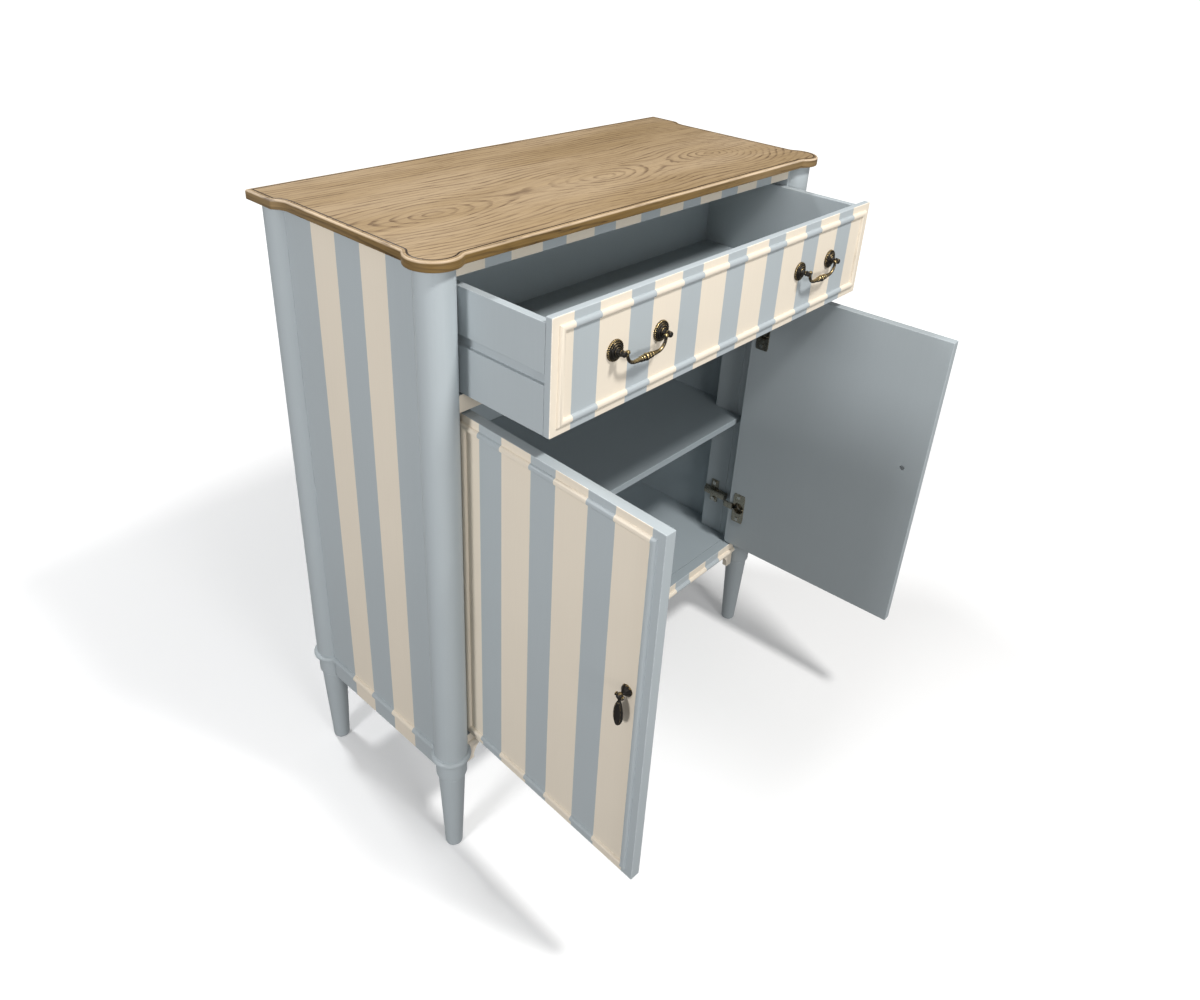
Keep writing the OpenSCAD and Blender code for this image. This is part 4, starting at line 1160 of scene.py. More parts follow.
class CABINET_OT_legs(CabinetOperator, bpy.types.Operator):
    """Four turned and tapered legs with a collar"""

    bl_idname = "cabinet.legs"
    bl_label = "Legs"

    def execute(self, context):
        for row in ("front", "back"):
            for side in SIDES:
                node = f"{row}_{side}_leg"
                low, high = node_box(node)
                centre = (low + high) / 2
                top = high.z
                groove = top - 32 * MM
                collar = (high.x - low.x) / 2
                under = collar - 3 * MM
                foot = 13 * MM
                profile = [(0, 0), (foot - 5 * MM, 0), (foot - 3 * MM, 0.35 * MM),
                           (foot - 1.4 * MM, 1.3 * MM), (foot - 0.4 * MM, 2.8 * MM),
                           (foot, 4.6 * MM)]
                for i in range(1, 10):
                    t = i / 9
                    profile.append((foot + (under - foot) * t,
                                    4.6 * MM + (groove - 3.2 * MM - 4.6 * MM) * t))
                profile += [(under - 0.3 * MM, groove - 2.6 * MM), (under - 0.9 * MM, groove - 2 * MM),
                            (under - 1.0 * MM, groove - 1.3 * MM), (under - 0.6 * MM, groove - 0.6 * MM),
                            (under + 0.4 * MM, groove), (collar - 1.3 * MM, groove + 0.5 * MM),
                            (collar - 0.5 * MM, groove + 1.3 * MM), (collar - 0.1 * MM, groove + 2.6 * MM),
                            (collar, groove + 4.2 * MM), (collar, top - 12 * MM),
                            (collar, top - 0.6 * MM), (collar - 0.6 * MM, top), (0, top)]
                shape = lathe(profile, 64).moved(Matrix.Translation((centre.x, centre.y, 0)))
                make_piece(f"turned_leg_{row}_{side}", shape, [paints()["plain"]], "cabinet",
                           [node], crease=40)
        return {"FINISHED"}


# Drawer

class CABINET_OT_drawer(CabinetOperator, bpy.types.Operator):
    """Drawer front, grooved sides, back and bottom"""

    bl_idname = "cabinet.drawer"
    bl_label = "Drawer"

    def execute(self, context):
        low, high = node_box("drawer_front")
        finish = paints()
        front = board(low, high, 1.3 * MM, "Y")
        make_piece("drawer_front_board", front, [finish["drawer"], finish["plain"]], "drawer",
                   ["drawer_front"], finish=front_only)
        low, high = node_box("drawer_right_side")
        runner_low, runner_high = node_box("right_runner")
        middle = (runner_low.z + runner_high.z) / 2 + 0.1 * MM
        half, deep = 6.5 * MM, 5 * MM
        outline = [(low.x, low.z), (high.x, low.z), (high.x, middle - half),
                   (high.x - deep, middle - half), (high.x - deep, middle + half),
                   (high.x, middle + half), (high.x, high.z), (low.x, high.z)]
        for side, sign in SIDES.items():
            loop = outline if sign > 0 else [(-x, z) for x, z in reversed(outline)]
            shape = slab(loop, low.y, high.y, 0.5 * MM, 1.2 * MM, axis="Y")
            make_piece(f"drawer_side_board_{side}", shape, [finish["plain"]], "drawer",
                       [f"drawer_{side}_side"])
        low, high = node_box("drawer_back")
        make_piece("drawer_back_board", board(low, high, 0.9 * MM, "Y"), [finish["plain"]],
                   "drawer", ["drawer_back"])
        low, high = node_box("drawer_bottom")
        make_piece("drawer_bottom_board", board(low, high, 0.3 * MM, "Z"), [finish["inner"]],
                   "drawer", ["drawer_bottom"])
        return {"FINISHED"}


def moulding_frame(low, high, width, rise, base_y):
    """A mitred frame of half-round moulding that stands out from a front at base_y to -Y."""
    shape = Shape()
    profile = []
    lip = 0.35 * MM
    profile.append((0.0, 0.0))
    profile.append((0.0, lip))
    for i in range(1, 14):
        t = math.pi * i / 14
        profile.append((width / 2 - (width / 2 - 0.3 * MM) * math.cos(t),
                        lip + (rise - lip) * math.sin(t) ** 0.8))
    profile.append((width, lip))
    profile.append((width, 0.0))
    corners = [(low.x, low.z, 1, 1), (high.x, low.z, -1, 1), (high.x, high.z, -1, -1),
               (low.x, high.z, 1, -1)]
    rings = []
    for x, z, sx, sz in corners:
        rings.append(shape.ring([(x + sx * across, base_y - out, z + sz * across)
                                 for across, out in profile]))
    count = len(profile)
    for k in range(4):
        a, b = rings[k], rings[(k + 1) % 4]
        for i in range(count):
            j = (i + 1) % count
            shape.face([a[i], a[j], b[j], b[i]])
    return shape


class CABINET_OT_mouldings(CabinetOperator, bpy.types.Operator):
    """Mitred bead frames on the drawer and the doors"""

    bl_idname = "cabinet.mouldings"
    bl_label = "Mouldings"

    def execute(self, context):
        width = 9 * MM
        low, high = node_box("drawer_moulding")
        shape = moulding_frame(low, high, width, high.y - low.y, high.y)
        make_piece("drawer_bead_frame", shape, [paints()["drawer"]], "drawer",
                   ["drawer_moulding"])
        for side in SIDES:
            place = door_place(side)
            low, high = node_box(f"{side}_door_moulding", place)
            shape = moulding_frame(low, high, width, high.y - low.y, 0.0)
            make_piece(f"{side}_door_bead_frame", shape, [paints()["doors"]], f"{side}_door",
                       [f"{side}_door_moulding"], place)
        return {"FINISHED"}


# Doors and hinges

def hinge_heights():
    low, high = node_box("left_hinge_cups", door_place("left"))
    flange = 62 * MM
    return [low.z + flange / 2, high.z - flange / 2]


class CABINET_OT_doors(CabinetOperator, bpy.types.Operator):
    """Inset doors, bored for the hinge cups"""

    bl_idname = "cabinet.doors"
    bl_label = "Doors"

    def execute(self, context):
        for side, sign in SIDES.items():
            place = door_place(side)
            low, high = node_box(f"{side}_door", place)
            inner, outer = sorted((low.x, high.x), key=abs)
            outline = rectangle(low.x, low.z, high.x, high.z)
            corner = 0 if sign < 0 else 1
            loop = []
            for i, (x, z) in enumerate(outline):
                if i == corner:
                    radius = 7 * MM
                    centre = (x - sign * radius, z + radius)
                    bend = arc(centre, radius, 180, 270, 8) if sign < 0 else arc(
                        centre, radius, 270, 360, 8)
                    loop += bend
                else:
                    loop.append((x, z))
            shape = slab(loop, low.y, high.y, self.sizes.arris, 1.4 * MM, axis="Y")
            door = make_piece(f"{side}_door_board", shape,
                              [paints()["doors"], paints()["plain"]], f"{side}_door",
                              [f"{side}_door"], place)
            cup_low = node_box(f"{side}_hinge_cups", place)[0]
            cups = Shape()
            middle = outer - sign * 20.9 * MM
            for z in hinge_heights():
                cup = lathe([(0, 0), (17.6 * MM, 0), (17.6 * MM, 11 * MM), (11.9 * MM, 11.3 * MM),
                             (11.9 * MM, 14 * MM), (0, 14 * MM)], 64)
                turn = Matrix.Translation((middle, cup_low.y, z)) @ Matrix.Rotation(
                    math.radians(-90), 4, "X")
                cups.add(cup, turn)
            cut_from(door, cups)
            slots = Shape()
            for z in hinge_heights():
                ends = sorted((outer + sign * MM, middle))
                slots.add(block_shape((ends[0], 9.4 * MM, z - 6.4 * MM),
                                      (ends[1], 20 * MM, z + 6.4 * MM)))
            cut_from(door, slots)
            for polygon in door.data.polygons:
                polygon.material_index = front_only(polygon.center, polygon.normal)
        return {"FINISHED"}


def softened(node, name, materials, body, width, place=None, hollows=0.0, crease=28):
    """A copy of a CAD node with its sharp edges rounded off."""
    work = bmesh.new()
    work.from_mesh(frame["nodes"][node].data)
    bmesh.ops.remove_doubles(work, verts=work.verts, dist=1e-6)
    if place is not None:
        work.transform(place.inverted())
    bmesh.ops.dissolve_limit(work, angle_limit=math.radians(0.5), verts=work.verts,
                             edges=work.edges)
    edges = [e for e in work.edges
             if len(e.link_faces) == 2 and e.calc_face_angle(0) > math.radians(crease)]
    bmesh.ops.bevel(work, geom=edges, offset=width, offset_type="OFFSET", segments=2,
                    profile=0.6, affect="EDGES", clamp_overlap=True)
    mesh = bpy.data.meshes.new(name)
    for face in work.faces:
        face.smooth = True
    for edge in work.edges:
        if len(edge.link_faces) == 2 and edge.calc_face_angle(0) > math.radians(40):
            edge.smooth = False
    work.to_mesh(mesh)
    work.free()
    for material in materials:
        mesh.materials.append(material)
    if hollows:
        mark_hollows(mesh, hollows)
    piece = bpy.data.objects.new(name, mesh)
    bpy.context.scene.collection.objects.link(piece)
    if place is not None:
        piece.matrix_world = place
    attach(piece, body)
    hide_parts(node)
    return piece


class CABINET_OT_hinges(CabinetOperator, bpy.types.Operator):
    """Concealed hinges: arms on the battens, cups in the doors, and their pins"""

    bl_idname = "cabinet.hinges"
    bl_label = "Hinges"

    def execute(self, context):
        for side in SIDES:
            softened(f"{side}_hinge_arms", f"{side}_hinge_arm_pair", [hinge_steel()], "cabinet",
                     0.25 * MM)
            self.cups(side)
            frame["nodes"][f"{side}_hinge_pins"].data.materials.clear()
            frame["nodes"][f"{side}_hinge_pins"].data.materials.append(screw_steel())
        return {"FINISHED"}

    def cups(self, side):
        """Flange plate with a round mouth, over the cup that is let into the door."""
        place = door_place(side)
        low, high = node_box(f"{side}_hinge_cups", place)
        sign = SIDES[side]
        middle = (low.x + high.x) / 2
        face = high.y - 1.2 * MM
        wide, tall, mouth = 12 * MM, 31 * MM, 11 * MM
        shape = Shape()
        count = 48
        for z in hinge_heights():
            def spread(radius_x, radius_z, round_share):
                """Points round the mouth, on a circle or on the edge of the plate."""
                points = []
                for i in range(count):
                    t = 2 * math.pi * (i + 0.5) / count
                    c, s = math.cos(t), math.sin(t)
                    if round_share:
                        points.append((radius_x * c, radius_z * s))
                    else:
                        far = min(radius_x / max(abs(c), 1e-6), radius_z / max(abs(s), 1e-6))
                        points.append((far * c, far * s))
                return [(middle + u, z + w) for u, w in points]

            plate = Shape()
            soft = 0.35 * MM
            levels = [(wide, tall, False, face), (wide, tall, False, high.y - soft),
                      (wide - soft, tall - soft, False, high.y),
                      (mouth + 0.8 * MM, mouth + 0.8 * MM, True, high.y),
                      (mouth, mouth, True, high.y - 0.6 * MM),
                      (mouth - 0.1 * MM, mouth - 0.1 * MM, True, low.y + 2.2 * MM),
                      (mouth - 2 * MM, mouth - 2 * MM, True, low.y + 0.6 * MM)]
            rings = []
            for radius_x, radius_z, is_round, level in levels:
                rings.append(plate.ring([(x, level, h) for x, h in
                                         spread(radius_x, radius_z, is_round)]))
            for a, b in zip(rings, rings[1:]):
                plate.bridge(a, b)
            plate.face(rings[-1])
            back = [(wide, tall, False, face), (mouth + 0.8 * MM, mouth + 0.8 * MM, True, face),
                    (mouth + 0.8 * MM, mouth + 0.8 * MM, True, low.y),
                    ]
            rings = []
            for radius_x, radius_z, is_round, level in back:
                rings.append(plate.ring([(x, level, h) for x, h in
                                         spread(radius_x, radius_z, is_round)]))
            for a, b in zip(rings, rings[1:]):
                plate.bridge(b, a)
            plate.face(list(reversed(rings[-1])))
            shape.add(plate)
        cups = make_piece(f"{side}_hinge_cup_pair", shape, [hinge_steel()], f"{side}_door",
                          [f"{side}_hinge_cups"], place, crease=30)
        slots = Shape()
        for z in hinge_heights():
            ends = sorted((middle, middle + sign * 14 * MM))
            slots.add(block_shape((ends[0], low.y + 1.4 * MM, z - 6.4 * MM),
                                  (ends[1], 20 * MM, z + 6.4 * MM)))
        cut_from(cups, slots)


def block_shape(low, high):
    """A plain block between two corners."""
    shape = Shape()
    corners = rectangle(low[0], low[2], high[0], high[2])
    a = shape.ring([(x, low[1], z) for x, z in corners])
    b = shape.ring([(x, high[1], z) for x, z in corners])
    shape.bridge(a, b)
    shape.face(list(reversed(a)))
    shape.face(b)
    return shape


def cross_head(radius, height):
    """A domed screw head with a cross recess, standing on z = 0 and facing +Z."""
    shape = Shape()
    arm, half = radius * 0.62, radius * 0.16
    count = 32
    outer = shape.ring([(radius * math.cos(2 * math.pi * i / count),
                         radius * math.sin(2 * math.pi * i / count), 0) for i in range(count)])
    rim = shape.ring([(radius * 0.9 * math.cos(2 * math.pi * i / count),
                       radius * 0.9 * math.sin(2 * math.pi * i / count), height * 0.6)
                      for i in range(count)])
    shape.bridge(outer, rim)
    shape.face(list(reversed(outer)))
    cross = []
    for k in range(4):
        t = math.pi / 2 * k
        c, s = math.cos(t), math.sin(t)
        for u, v in ((half, -half), (arm, -half), (arm, half)):
            cross.append((u * c - v * s, u * s + v * c))
    lip = shape.ring([(x, y, height) for x, y in cross])
    floor = shape.ring([(x * 0.8, y * 0.8, height * 0.3) for x, y in cross])
    shape.bridge(lip, floor)
    shape.face(floor)
    # the crown, from each rim point to the nearest corner of the cross
    nearest = []
    for i in rim:
        p = shape.points[i]
        nearest.append(min(range(len(lip)), key=lambda k: (shape.points[lip[k]] - p).length))
    for i in range(count):
        j = (i + 1) % count
        a, b = nearest[i], nearest[j]
        shape.face([rim[i], rim[j], lip[b]])
        k = a
        while k != b:
            step = (k + 1) % len(lip)
            shape.face([rim[i], lip[step], lip[k]])
            k = step
    return shape


class CABINET_OT_screws(CabinetOperator, bpy.types.Operator):
    """Steel for the screws of the hinges and pulls and the other screws and bolts; brass for the shelf
    pins
    """

    bl_idname = "cabinet.screws"
    bl_label = "Screws"

    def execute(self, context):
        for node in ("hinge_plate_screws", "pull_screws", "left_door_screws", "right_door_screws",
                     "case_screws", "leg_bolts"):
            frame["nodes"][node].data.materials.clear()
            frame["nodes"][node].data.materials.append(screw_steel())
        frame["nodes"]["shelf_pins"].data.materials.clear()
        frame["nodes"]["shelf_pins"].data.materials.append(brass())
        return {"FINISHED"}


class CABINET_OT_bare_wood(CabinetOperator, bpy.types.Operator):
    """Runners, drawer stops and cleats in bare wood"""

    bl_idname = "cabinet.bare_wood"
    bl_label = "Bare wood parts"

    def execute(self, context):
        light = self.colours.runner
        dark = [v * 0.55 for v in light]
        finish = oak("Runner wood", light, dark, 0.6, 0.5)
        for side in SIDES:
            softened(f"{side}_runner", f"drawer_runner_{side}", [finish], "cabinet",
                     0.5 * MM)
        softened("drawer_stops", "drawer_stop_blocks", [finish], "cabinet", 0.5 * MM)
        softened("top_cleats", "top_cleat_pair", [finish], "cabinet", 0.5 * MM)
        return {"FINISHED"}


# Pulls

def rosette(rope_turns, out):
    """Stepped rosette with a rope ring, its post and head, turned about Z and standing on z = 0."""
    outline = [(0, 0), (12.7, 0), (13.3, 0.4), (13.5, 1.2), (13.35, 2.1), (12.8, 2.7),
               (12.1, 2.75), (11.65, 2.3), (11.4, 1.8), (11.1, 2.1), (10.8, 2.9), (10.3, 3.5),
               (9.7, 3.5), (9.35, 3.0), (9.1, 2.7), (8.85, 3.2), (8.6, 4.2), (8.1, 5.0),
               (7.3, 5.35), (6.7, 5.1), (6.4, 4.5), (6.2, 4.2), (5.95, 4.7), (5.7, 5.6),
               (5.2, 6.1), (4.7, 5.9), (4.4, 5.5), (4.15, 5.7), (3.8, 6.6), (3.3, 7.5),
               (3.0, 8.6), (2.95, out - 4.4), (3.2, out - 3.7), (3.9, out - 3.2),
               (4.1, out - 2.5), (3.85, out - 1.9), (3.75, out - 1.2), (3.8, out + 1.2),
               (3.55, out + 2.2), (2.9, out + 2.95), (1.8, out + 3.4), (0, out + 3.55)]
    profile = [(r * MM, z * MM) for r, z in curve_through(outline, 3)]

    def rope(turn, height):
        return 1.0

    plain = lathe(profile, 120)
    for p in plain.points:
        radius = math.hypot(p.x, p.y)
        if radius > 11.2 * MM:
            angle = math.atan2(p.y, p.x)
            ridge = math.cos(rope_turns * angle + p.z / MM * 1.6)
            lift = 0.28 * MM * (ridge - 1) * min((radius / MM - 11.2) / 1.0, 1)
            scale = (radius + lift) / radius
            p.x, p.y = p.x * scale, p.y * scale
            if p.z > 2.2 * MM:
                p.z += lift * 0.8
    return plain


class CABINET_OT_drawer_pulls(CabinetOperator, bpy.types.Operator):
    """Rosettes and posts of the two drawer pulls, and their bails"""

    bl_idname = "cabinet.drawer_pulls"
    bl_label = "Drawer pulls"

    def execute(self, context):
        pitch = 82 * MM
        low, high = node_box("pull_posts")
        base_y = high.y
        out = 14.0
        shape = Shape()
        to_front = Matrix.Rotation(math.radians(90), 4, "X")
        joints = {side: Vector(JOINTS[f"{side}_bail_swing"]["pos_m"]) for side in SIDES}
        for side in SIDES:
            middle = joints[side]
            for end in (-1, 1):
                spot = Matrix.Translation((middle.x + end * pitch / 2, base_y, middle.z))
                turn = Matrix.Rotation(math.radians(17 * end), 4, "Z")
                shape.add(rosette(self.sizes.rope_turns, out), spot @ to_front @ turn)
        make_piece("drawer_pull_rosettes", shape, [brass("Rosette brass", 0.71)], "drawer",
                   ["pull_posts"], hollows=2.2, crease=60)
        for side in SIDES:
            make_piece(f"{side}_bail_handle", bail_shape(joints[side], pitch),
                       [brass("Bail brass", 0.64)], f"{side}_bail",
                       [f"{side}_bail"], hollows=2.2, crease=60)
        return {"FINISHED"}


def bail_shape(middle, pitch):
    """Bail that hangs between two posts: bent rod, knuckles on the pivots and turned knots."""
    shape = Shape()
    leg = pitch / 2 - 6.6 * MM
    drop = 16 * MM
    bend = 14 * MM
    for end in (-1, 1):
        path, radii = [], []
        path.append((end * leg, 0, 0))
        radii.append(1.9)
        path.append((end * leg, 0, bend - drop))
        radii.append(1.95)
        for i in range(1, 15):
            t = math.radians(90 * i / 14)
            path.append((end * (leg - bend + bend * math.cos(t)), 0,
                         bend - drop - bend * math.sin(t)))
            radii.append(1.95 + 0.45 * i / 14)
        inner = leg - bend
        for i in range(1, 9):
            path.append((end * (inner + (10 * MM - inner) * i / 8), 0, -drop))
            radii.append(2.4 + 0.75 * (i / 8) ** 0.8)
        shape.add(tube(path, [r * MM for r in radii], 24))
        eye = [(0, -2.4), (1.6, -2.4), (2.4, -2.0), (2.8, -1.0), (2.8, 1.0), (2.4, 2.0), (1.6, 2.4),
               (0, 2.4)]
        knuckle = lathe([(r * MM, z * MM) for r, z in curve_through(eye, 3)], 32)
        to_x = Matrix.Rotation(math.radians(90), 4, "Y")
        shape.add(knuckle, Matrix.Translation((end * leg, 0, 0)) @ to_x)
        pin = lathe([(0, 0), (1.5 * MM, 0), (1.5 * MM, 7 * MM), (0, 7 * MM)], 24)
        shape.add(pin, Matrix.Translation((end * leg, 0, 0)) @ to_x @ Matrix.Rotation(
            0 if end > 0 else math.pi, 4, "X"))
    half = [(4.8, 0), (4.72, 0.9), (4.35, 1.9), (3.4, 2.7), (2.95, 3.3), (3.2, 3.8), (3.9, 4.4),
            (4.1, 5.2), (4.05, 6.2), (3.7, 7.0), (3.0, 7.6), (2.75, 8.1), (3.0, 8.7), (3.6, 9.2),
            (3.75, 9.9), (3.5, 10.6), (2.9, 11.2), (2.4, 11.6), (0, 11.6)]
    knots = [(r, -h) for r, h in reversed(half[1:])] + half
    knot = lathe([(r * MM, h * MM) for r, h in curve_through(knots, 3)], 40)
    shape.add(knot, Matrix.Translation((0, 0, -drop)) @ Matrix.Rotation(math.radians(90), 4, "Y"))
    return shape.moved(Matrix.Translation(middle))


class CABINET_OT_door_pulls(CabinetOperator, bpy.types.Operator):
    """Fluted bases and hanging drops of the door pulls"""

    bl_idname = "cabinet.door_pulls"
    bl_label = "Door pulls"

    def execute(self, context):
        for side in SIDES:
            place = door_place(side)
            low, high = node_box(f"{side}_pull_base", place)
            middle = (low + high) / 2
            spot = Matrix.Translation((middle.x, 0.0, middle.z))
            to_front = Matrix.Rotation(math.radians(90), 4, "X")
            base = fluted_base(self.sizes.flutes)
            make_piece(f"{side}_pull_bell", base.moved(spot @ to_front),
                       [brass("Rosette brass", 0.71)], f"{side}_door",
                       [f"{side}_pull_base"], place, hollows=2.0, crease=60)
            pivot = Vector((middle.x, -12.5 * MM, middle.z))
            make_piece(f"{side}_pull_drop", drop_shape().moved(Matrix.Translation(pivot)),
                       [brass("Drop brass", 0.74)], f"{side}_drop",
                       [f"{side}_drop"], place, hollows=2.2, crease=60)
        return {"FINISHED"}


def fluted_base(flutes):
    """Bell-shaped base with flutes, its neck and ball, turned about Z and standing on z = 0."""
    bell = [(0, 0), (7.3, 0), (7.9, 0.4), (8.0, 1.1), (7.6, 1.9), (6.9, 2.8), (6.0, 3.7),
            (5.0, 4.7), (4.1, 5.6), (3.3, 6.6), (2.7, 7.5), (2.4, 8.4), (2.35, 9.0)]
    profile = [(r * MM, z * MM) for r, z in curve_through(bell, 3)]

    def flute(turn, height):
        h = height / MM
        deep = 0.16 * min(h / 0.8, 1.0) * max(1 - h / 7.5, 0.0) ** 0.5 if h < 7.5 else 0.0
        return 1 - deep * (0.5 - 0.5 * abs(math.cos(flutes * turn / 2))) * 2

    shape = lathe(profile, 96, flute)
    ball = [(2.35 * MM, 9.0 * MM)]
    for i in range(1, 17):
        t = math.radians(-56 + (90 + 56) * i / 16)
        ball.append((4.2 * MM * math.cos(t), 12.5 * MM + 4.2 * MM * math.sin(t)))
    ball[-1] = (0, 16.7 * MM)
    return shape.add(lathe(ball, 96))


def drop_shape():
    """Drop about its pivot: fork round the ball, pin, and a teardrop with a raised rim."""
    shape = Shape()
    middle_r = 5.4
    fork = [(middle_r * math.cos(t), 0, middle_r * math.sin(t))
            for t in (math.radians(180 + 180 * i / 24) for i in range(25))]
    shape.add(tube([Vector(p) * MM for p in fork], [0.78 * MM] * 25, 20))
    for end in (-1, 1):
        cap = [(0, -0.8), (1.5, -0.8), (2.2, -0.5), (2.45, 0), (2.2, 0.5), (1.5, 0.8), (0, 0.8)]
        knob = lathe([(r * MM, z * MM) for r, z in curve_through(cap, 3)], 28)
        shape.add(knob, Matrix.Translation((end * middle_r * MM, 0, 0)) @ Matrix.Rotation(
            math.radians(90), 4, "Y"))
    pin = lathe([(0, -6 * MM), (1.3 * MM, -6 * MM), (1.3 * MM, 6 * MM), (0, 6 * MM)], 24)
    shape.add(pin, Matrix.Rotation(math.radians(90), 4, "Y"))
    length, wide, thick, top = 38.6, 7.0, 5.0, -5.9
    rows, around = 40, 40
    rings = []
    for i in range(rows + 1):
        t = i / rows
        t = 0.5 - 0.5 * math.cos(math.pi * t)
        half = max(1.7 * (1 - t), wide * (t ** 0.75) * math.sqrt(max(1 - t, 0)) / 0.431)
        if i == rows:
            half = 0.05
        deep = min(thick / 2, half * 0.95)
        z = top - length * t
        ring = []
        for k in range(around):
            a = 2 * math.pi * k / around
            c, s = math.cos(a), math.sin(a)
            x = half * c * (1 if abs(c) < 0.999 else 1)
            y = deep * abs(s) ** 0.7 * (1 if s > 0 else -1)
            if s < 0:
                share = min(abs(x) / max(half, 0.01), 1)
                hollow = max(0.0, 1 - (share / 0.72) ** 2)
                inner = min(max((t - 0.10) / 0.10, 0), 1) * min(max((0.95 - t) / 0.12, 0), 1)
                y += 2.1 * hollow ** 0.8 * inner * min(half / 4.5, 1)
            ring.append(Vector((x, y, z)) * MM)
        rings.append(shape.ring(ring))
    for a, b in zip(rings, rings[1:]):
        shape.bridge(a, b)
    shape.face(list(reversed(rings[0])))
    shape.face(rings[-1])
    return shape


# Stage

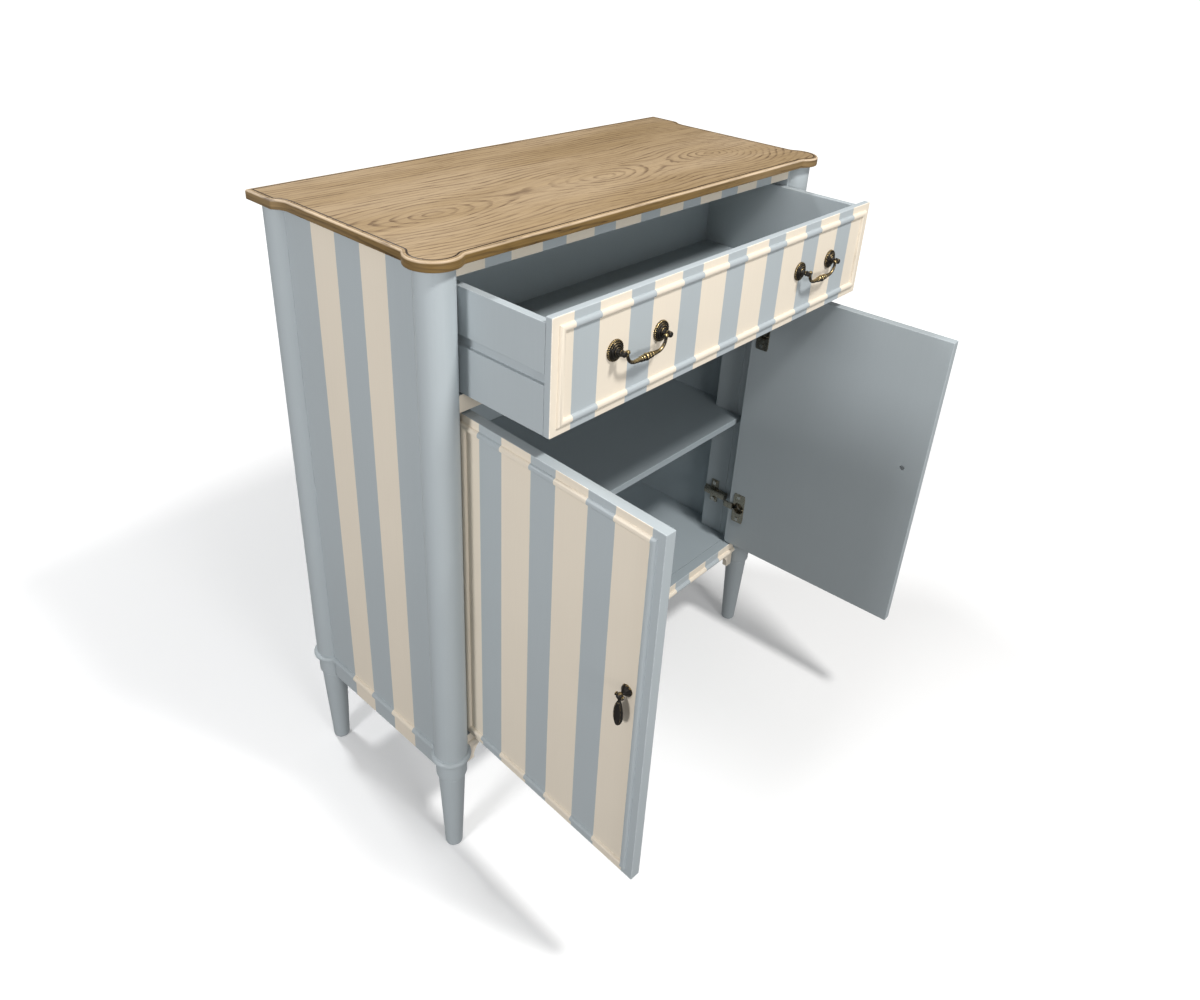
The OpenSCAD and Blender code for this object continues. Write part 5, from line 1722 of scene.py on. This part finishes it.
class CABINET_OT_stage(CabinetOperator, bpy.types.Operator):
    """Pale floor and backdrop, soft lights and the camera"""

    bl_idname = "cabinet.stage"
    bl_label = "Stage"

    def execute(self, context):
        material, tree, shader = new_material("Pale floor")
        where = put(tree, "ShaderNodeTexCoord").outputs["Object"]
        soft = noise(tree, where, 1.5, 2.0)
        shade = blend_colours(tree, soft, (0.92, 0.92, 0.92, 1), (0.94, 0.94, 0.94, 1))
        tree.links.new(shade, shader.inputs["Base Color"])
        # Painted glow on the floor and backdrop: faint near the cabinet, strong far away, so they read
        # white beyond the lamps' light.
        away = put(tree, "ShaderNodeVectorMath", {0: where}, operation="LENGTH").outputs["Value"]
        lift = blend_colours(tree, ramp(tree, away, 0.7, 3.0), (0.10, 0.10, 0.10, 1),
                             (0.80, 0.80, 0.80, 1))
        tree.links.new(lift, shader.inputs["Emission Color"])
        shader.inputs["Emission Strength"].default_value = 1.0
        shader.inputs["Roughness"].default_value = 0.8
        shader.inputs["Specular IOR Level"].default_value = 0.0
        shape = Shape()
        wide, near, far, tall, bend = 12.0, -8.0, 6.0, 8.0, 2.0
        line = [(near, 0.0)]
        for y, z in arc((far - bend, bend), bend, -90, 0, 12):
            line.append((y, z))
        line.append((far, tall))
        rings = [shape.ring([(x, y, z) for y, z in line]) for x in (-wide, wide)]
        shape.bridge(rings[0], rings[1], closed=False)
        mesh = bpy.data.meshes.new("floor")
        mesh.from_pydata([tuple(p) for p in shape.points], [], shape.faces)
        for polygon in mesh.polygons:
            polygon.use_smooth = True
        mesh.materials.append(material)
        turn = Matrix.Rotation(math.radians(-50), 4, "Z")
        mesh.transform(turn)
        floor = bpy.data.objects.new("floor", mesh)
        floor.visible_diffuse = False
        floor.visible_glossy = False
        context.scene.collection.objects.link(floor)
        self.add_lights(context)
        self.add_camera(context)
        return {"FINISHED"}

    def add_lights(self, context):
        world = bpy.data.worlds.new("Soft room")
        world.use_nodes = True
        world.node_tree.nodes["Background"].inputs["Color"].default_value = (1.0, 1.0, 1.0, 1)
        world.node_tree.nodes["Background"].inputs["Strength"].default_value = 0.26
        context.scene.world = world
        lamps = [("Front light", (0.12, -1.35, 2.85), 0.35, 52, (1.0, 0.99, 0.975), 0.7),
                 ("Back light", (-0.35, 1.45, 2.75), 0.35, 30, (0.98, 0.99, 1.0), 0.7),
                 ("Left fill", (-2.5, -0.22, 1.35), 0.6, 27, (0.99, 0.99, 1.0), 0.5),
                 ("Front fill", (-0.75, -2.9, 1.25), 1.0, 30, (1.0, 1.0, 1.0), 0.6)]
        for name, spot, size, power, tint, height in lamps:
            light = bpy.data.lights.new(name, "AREA")
            light.shape = "DISK"
            light.size = size
            light.energy = power
            light.color = tint
            lamp = bpy.data.objects.new(name, light)
            lamp.location = spot
            aim = Vector((0, 0, height)) - Vector(spot)
            lamp.rotation_euler = aim.to_track_quat("-Z", "Y").to_euler()
            context.scene.collection.objects.link(lamp)
        context.scene.view_settings.view_transform = "Standard"

    def add_camera(self, context):
        data = bpy.data.cameras.new("Camera")
        data.sensor_width = 36.0
        data.lens = 927.56 / 1200 * 36
        data.shift_x = (600 - 607.9) / 1200
        data.shift_y = (403.7 - 500) / 1200
        data.clip_start, data.clip_end = 0.05, 60
        camera = bpy.data.objects.new("Camera", data)
        yaw, pitch, roll = 0.869, -0.494, 0.062
        ahead = Vector((math.sin(yaw) * math.cos(pitch), math.cos(yaw) * math.cos(pitch),
                        math.sin(pitch)))
        right = Vector((math.cos(yaw), -math.sin(yaw), 0))
        up = right.cross(ahead)
        right, up = (right * math.cos(roll) + up * math.sin(roll),
                     up * math.cos(roll) - right * math.sin(roll))
        turn = Matrix((right, up, -ahead)).transposed().to_4x4()
        camera.matrix_world = Matrix.Translation((-0.9594, -0.7529, 1.2923)) @ turn
        context.scene.collection.objects.link(camera)
        context.scene.camera = camera


class VIEW3D_PT_cabinet(bpy.types.Panel):
    """Builds the cabinet piece by piece"""

    bl_label = "Striped cabinet"
    bl_space_type = "VIEW_3D"
    bl_region_type = "UI"
    bl_category = "Cabinet"

    def draw(self, context):
        layout = self.layout
        for holder in (context.scene.cabinet_sizes, context.scene.cabinet_colours):
            box = layout.box()
            for key in holder.__annotations__:
                box.prop(holder, key)
        column = layout.column(align=True)
        for operator in OPERATORS:
            column.operator(operator.bl_idname)


OPERATORS = [CABINET_OT_top, CABINET_OT_posts, CABINET_OT_side_panels, CABINET_OT_rails,
             CABINET_OT_inner_boards, CABINET_OT_brackets, CABINET_OT_base_beads, CABINET_OT_legs,
             CABINET_OT_drawer, CABINET_OT_mouldings, CABINET_OT_doors, CABINET_OT_hinges,
             CABINET_OT_drawer_pulls, CABINET_OT_door_pulls, CABINET_OT_screws,
             CABINET_OT_bare_wood, CABINET_OT_stage]
CLASSES = [CabinetSizes, CabinetColours, *OPERATORS, VIEW3D_PT_cabinet]


def register():
    for item in CLASSES:
        bpy.utils.register_class(item)
    bpy.types.Scene.cabinet_sizes = PointerProperty(type=CabinetSizes)
    bpy.types.Scene.cabinet_colours = PointerProperty(type=CabinetColours)


def unregister():
    del bpy.types.Scene.cabinet_colours
    del bpy.types.Scene.cabinet_sizes
    for item in reversed(CLASSES):
        bpy.utils.unregister_class(item)


def main():
    """Builds everything in order."""
    register()
    for operator in OPERATORS:
        name = operator.bl_idname.split(".")[1]
        getattr(bpy.ops.cabinet, name)()


if __name__ == "__main__":
    main()
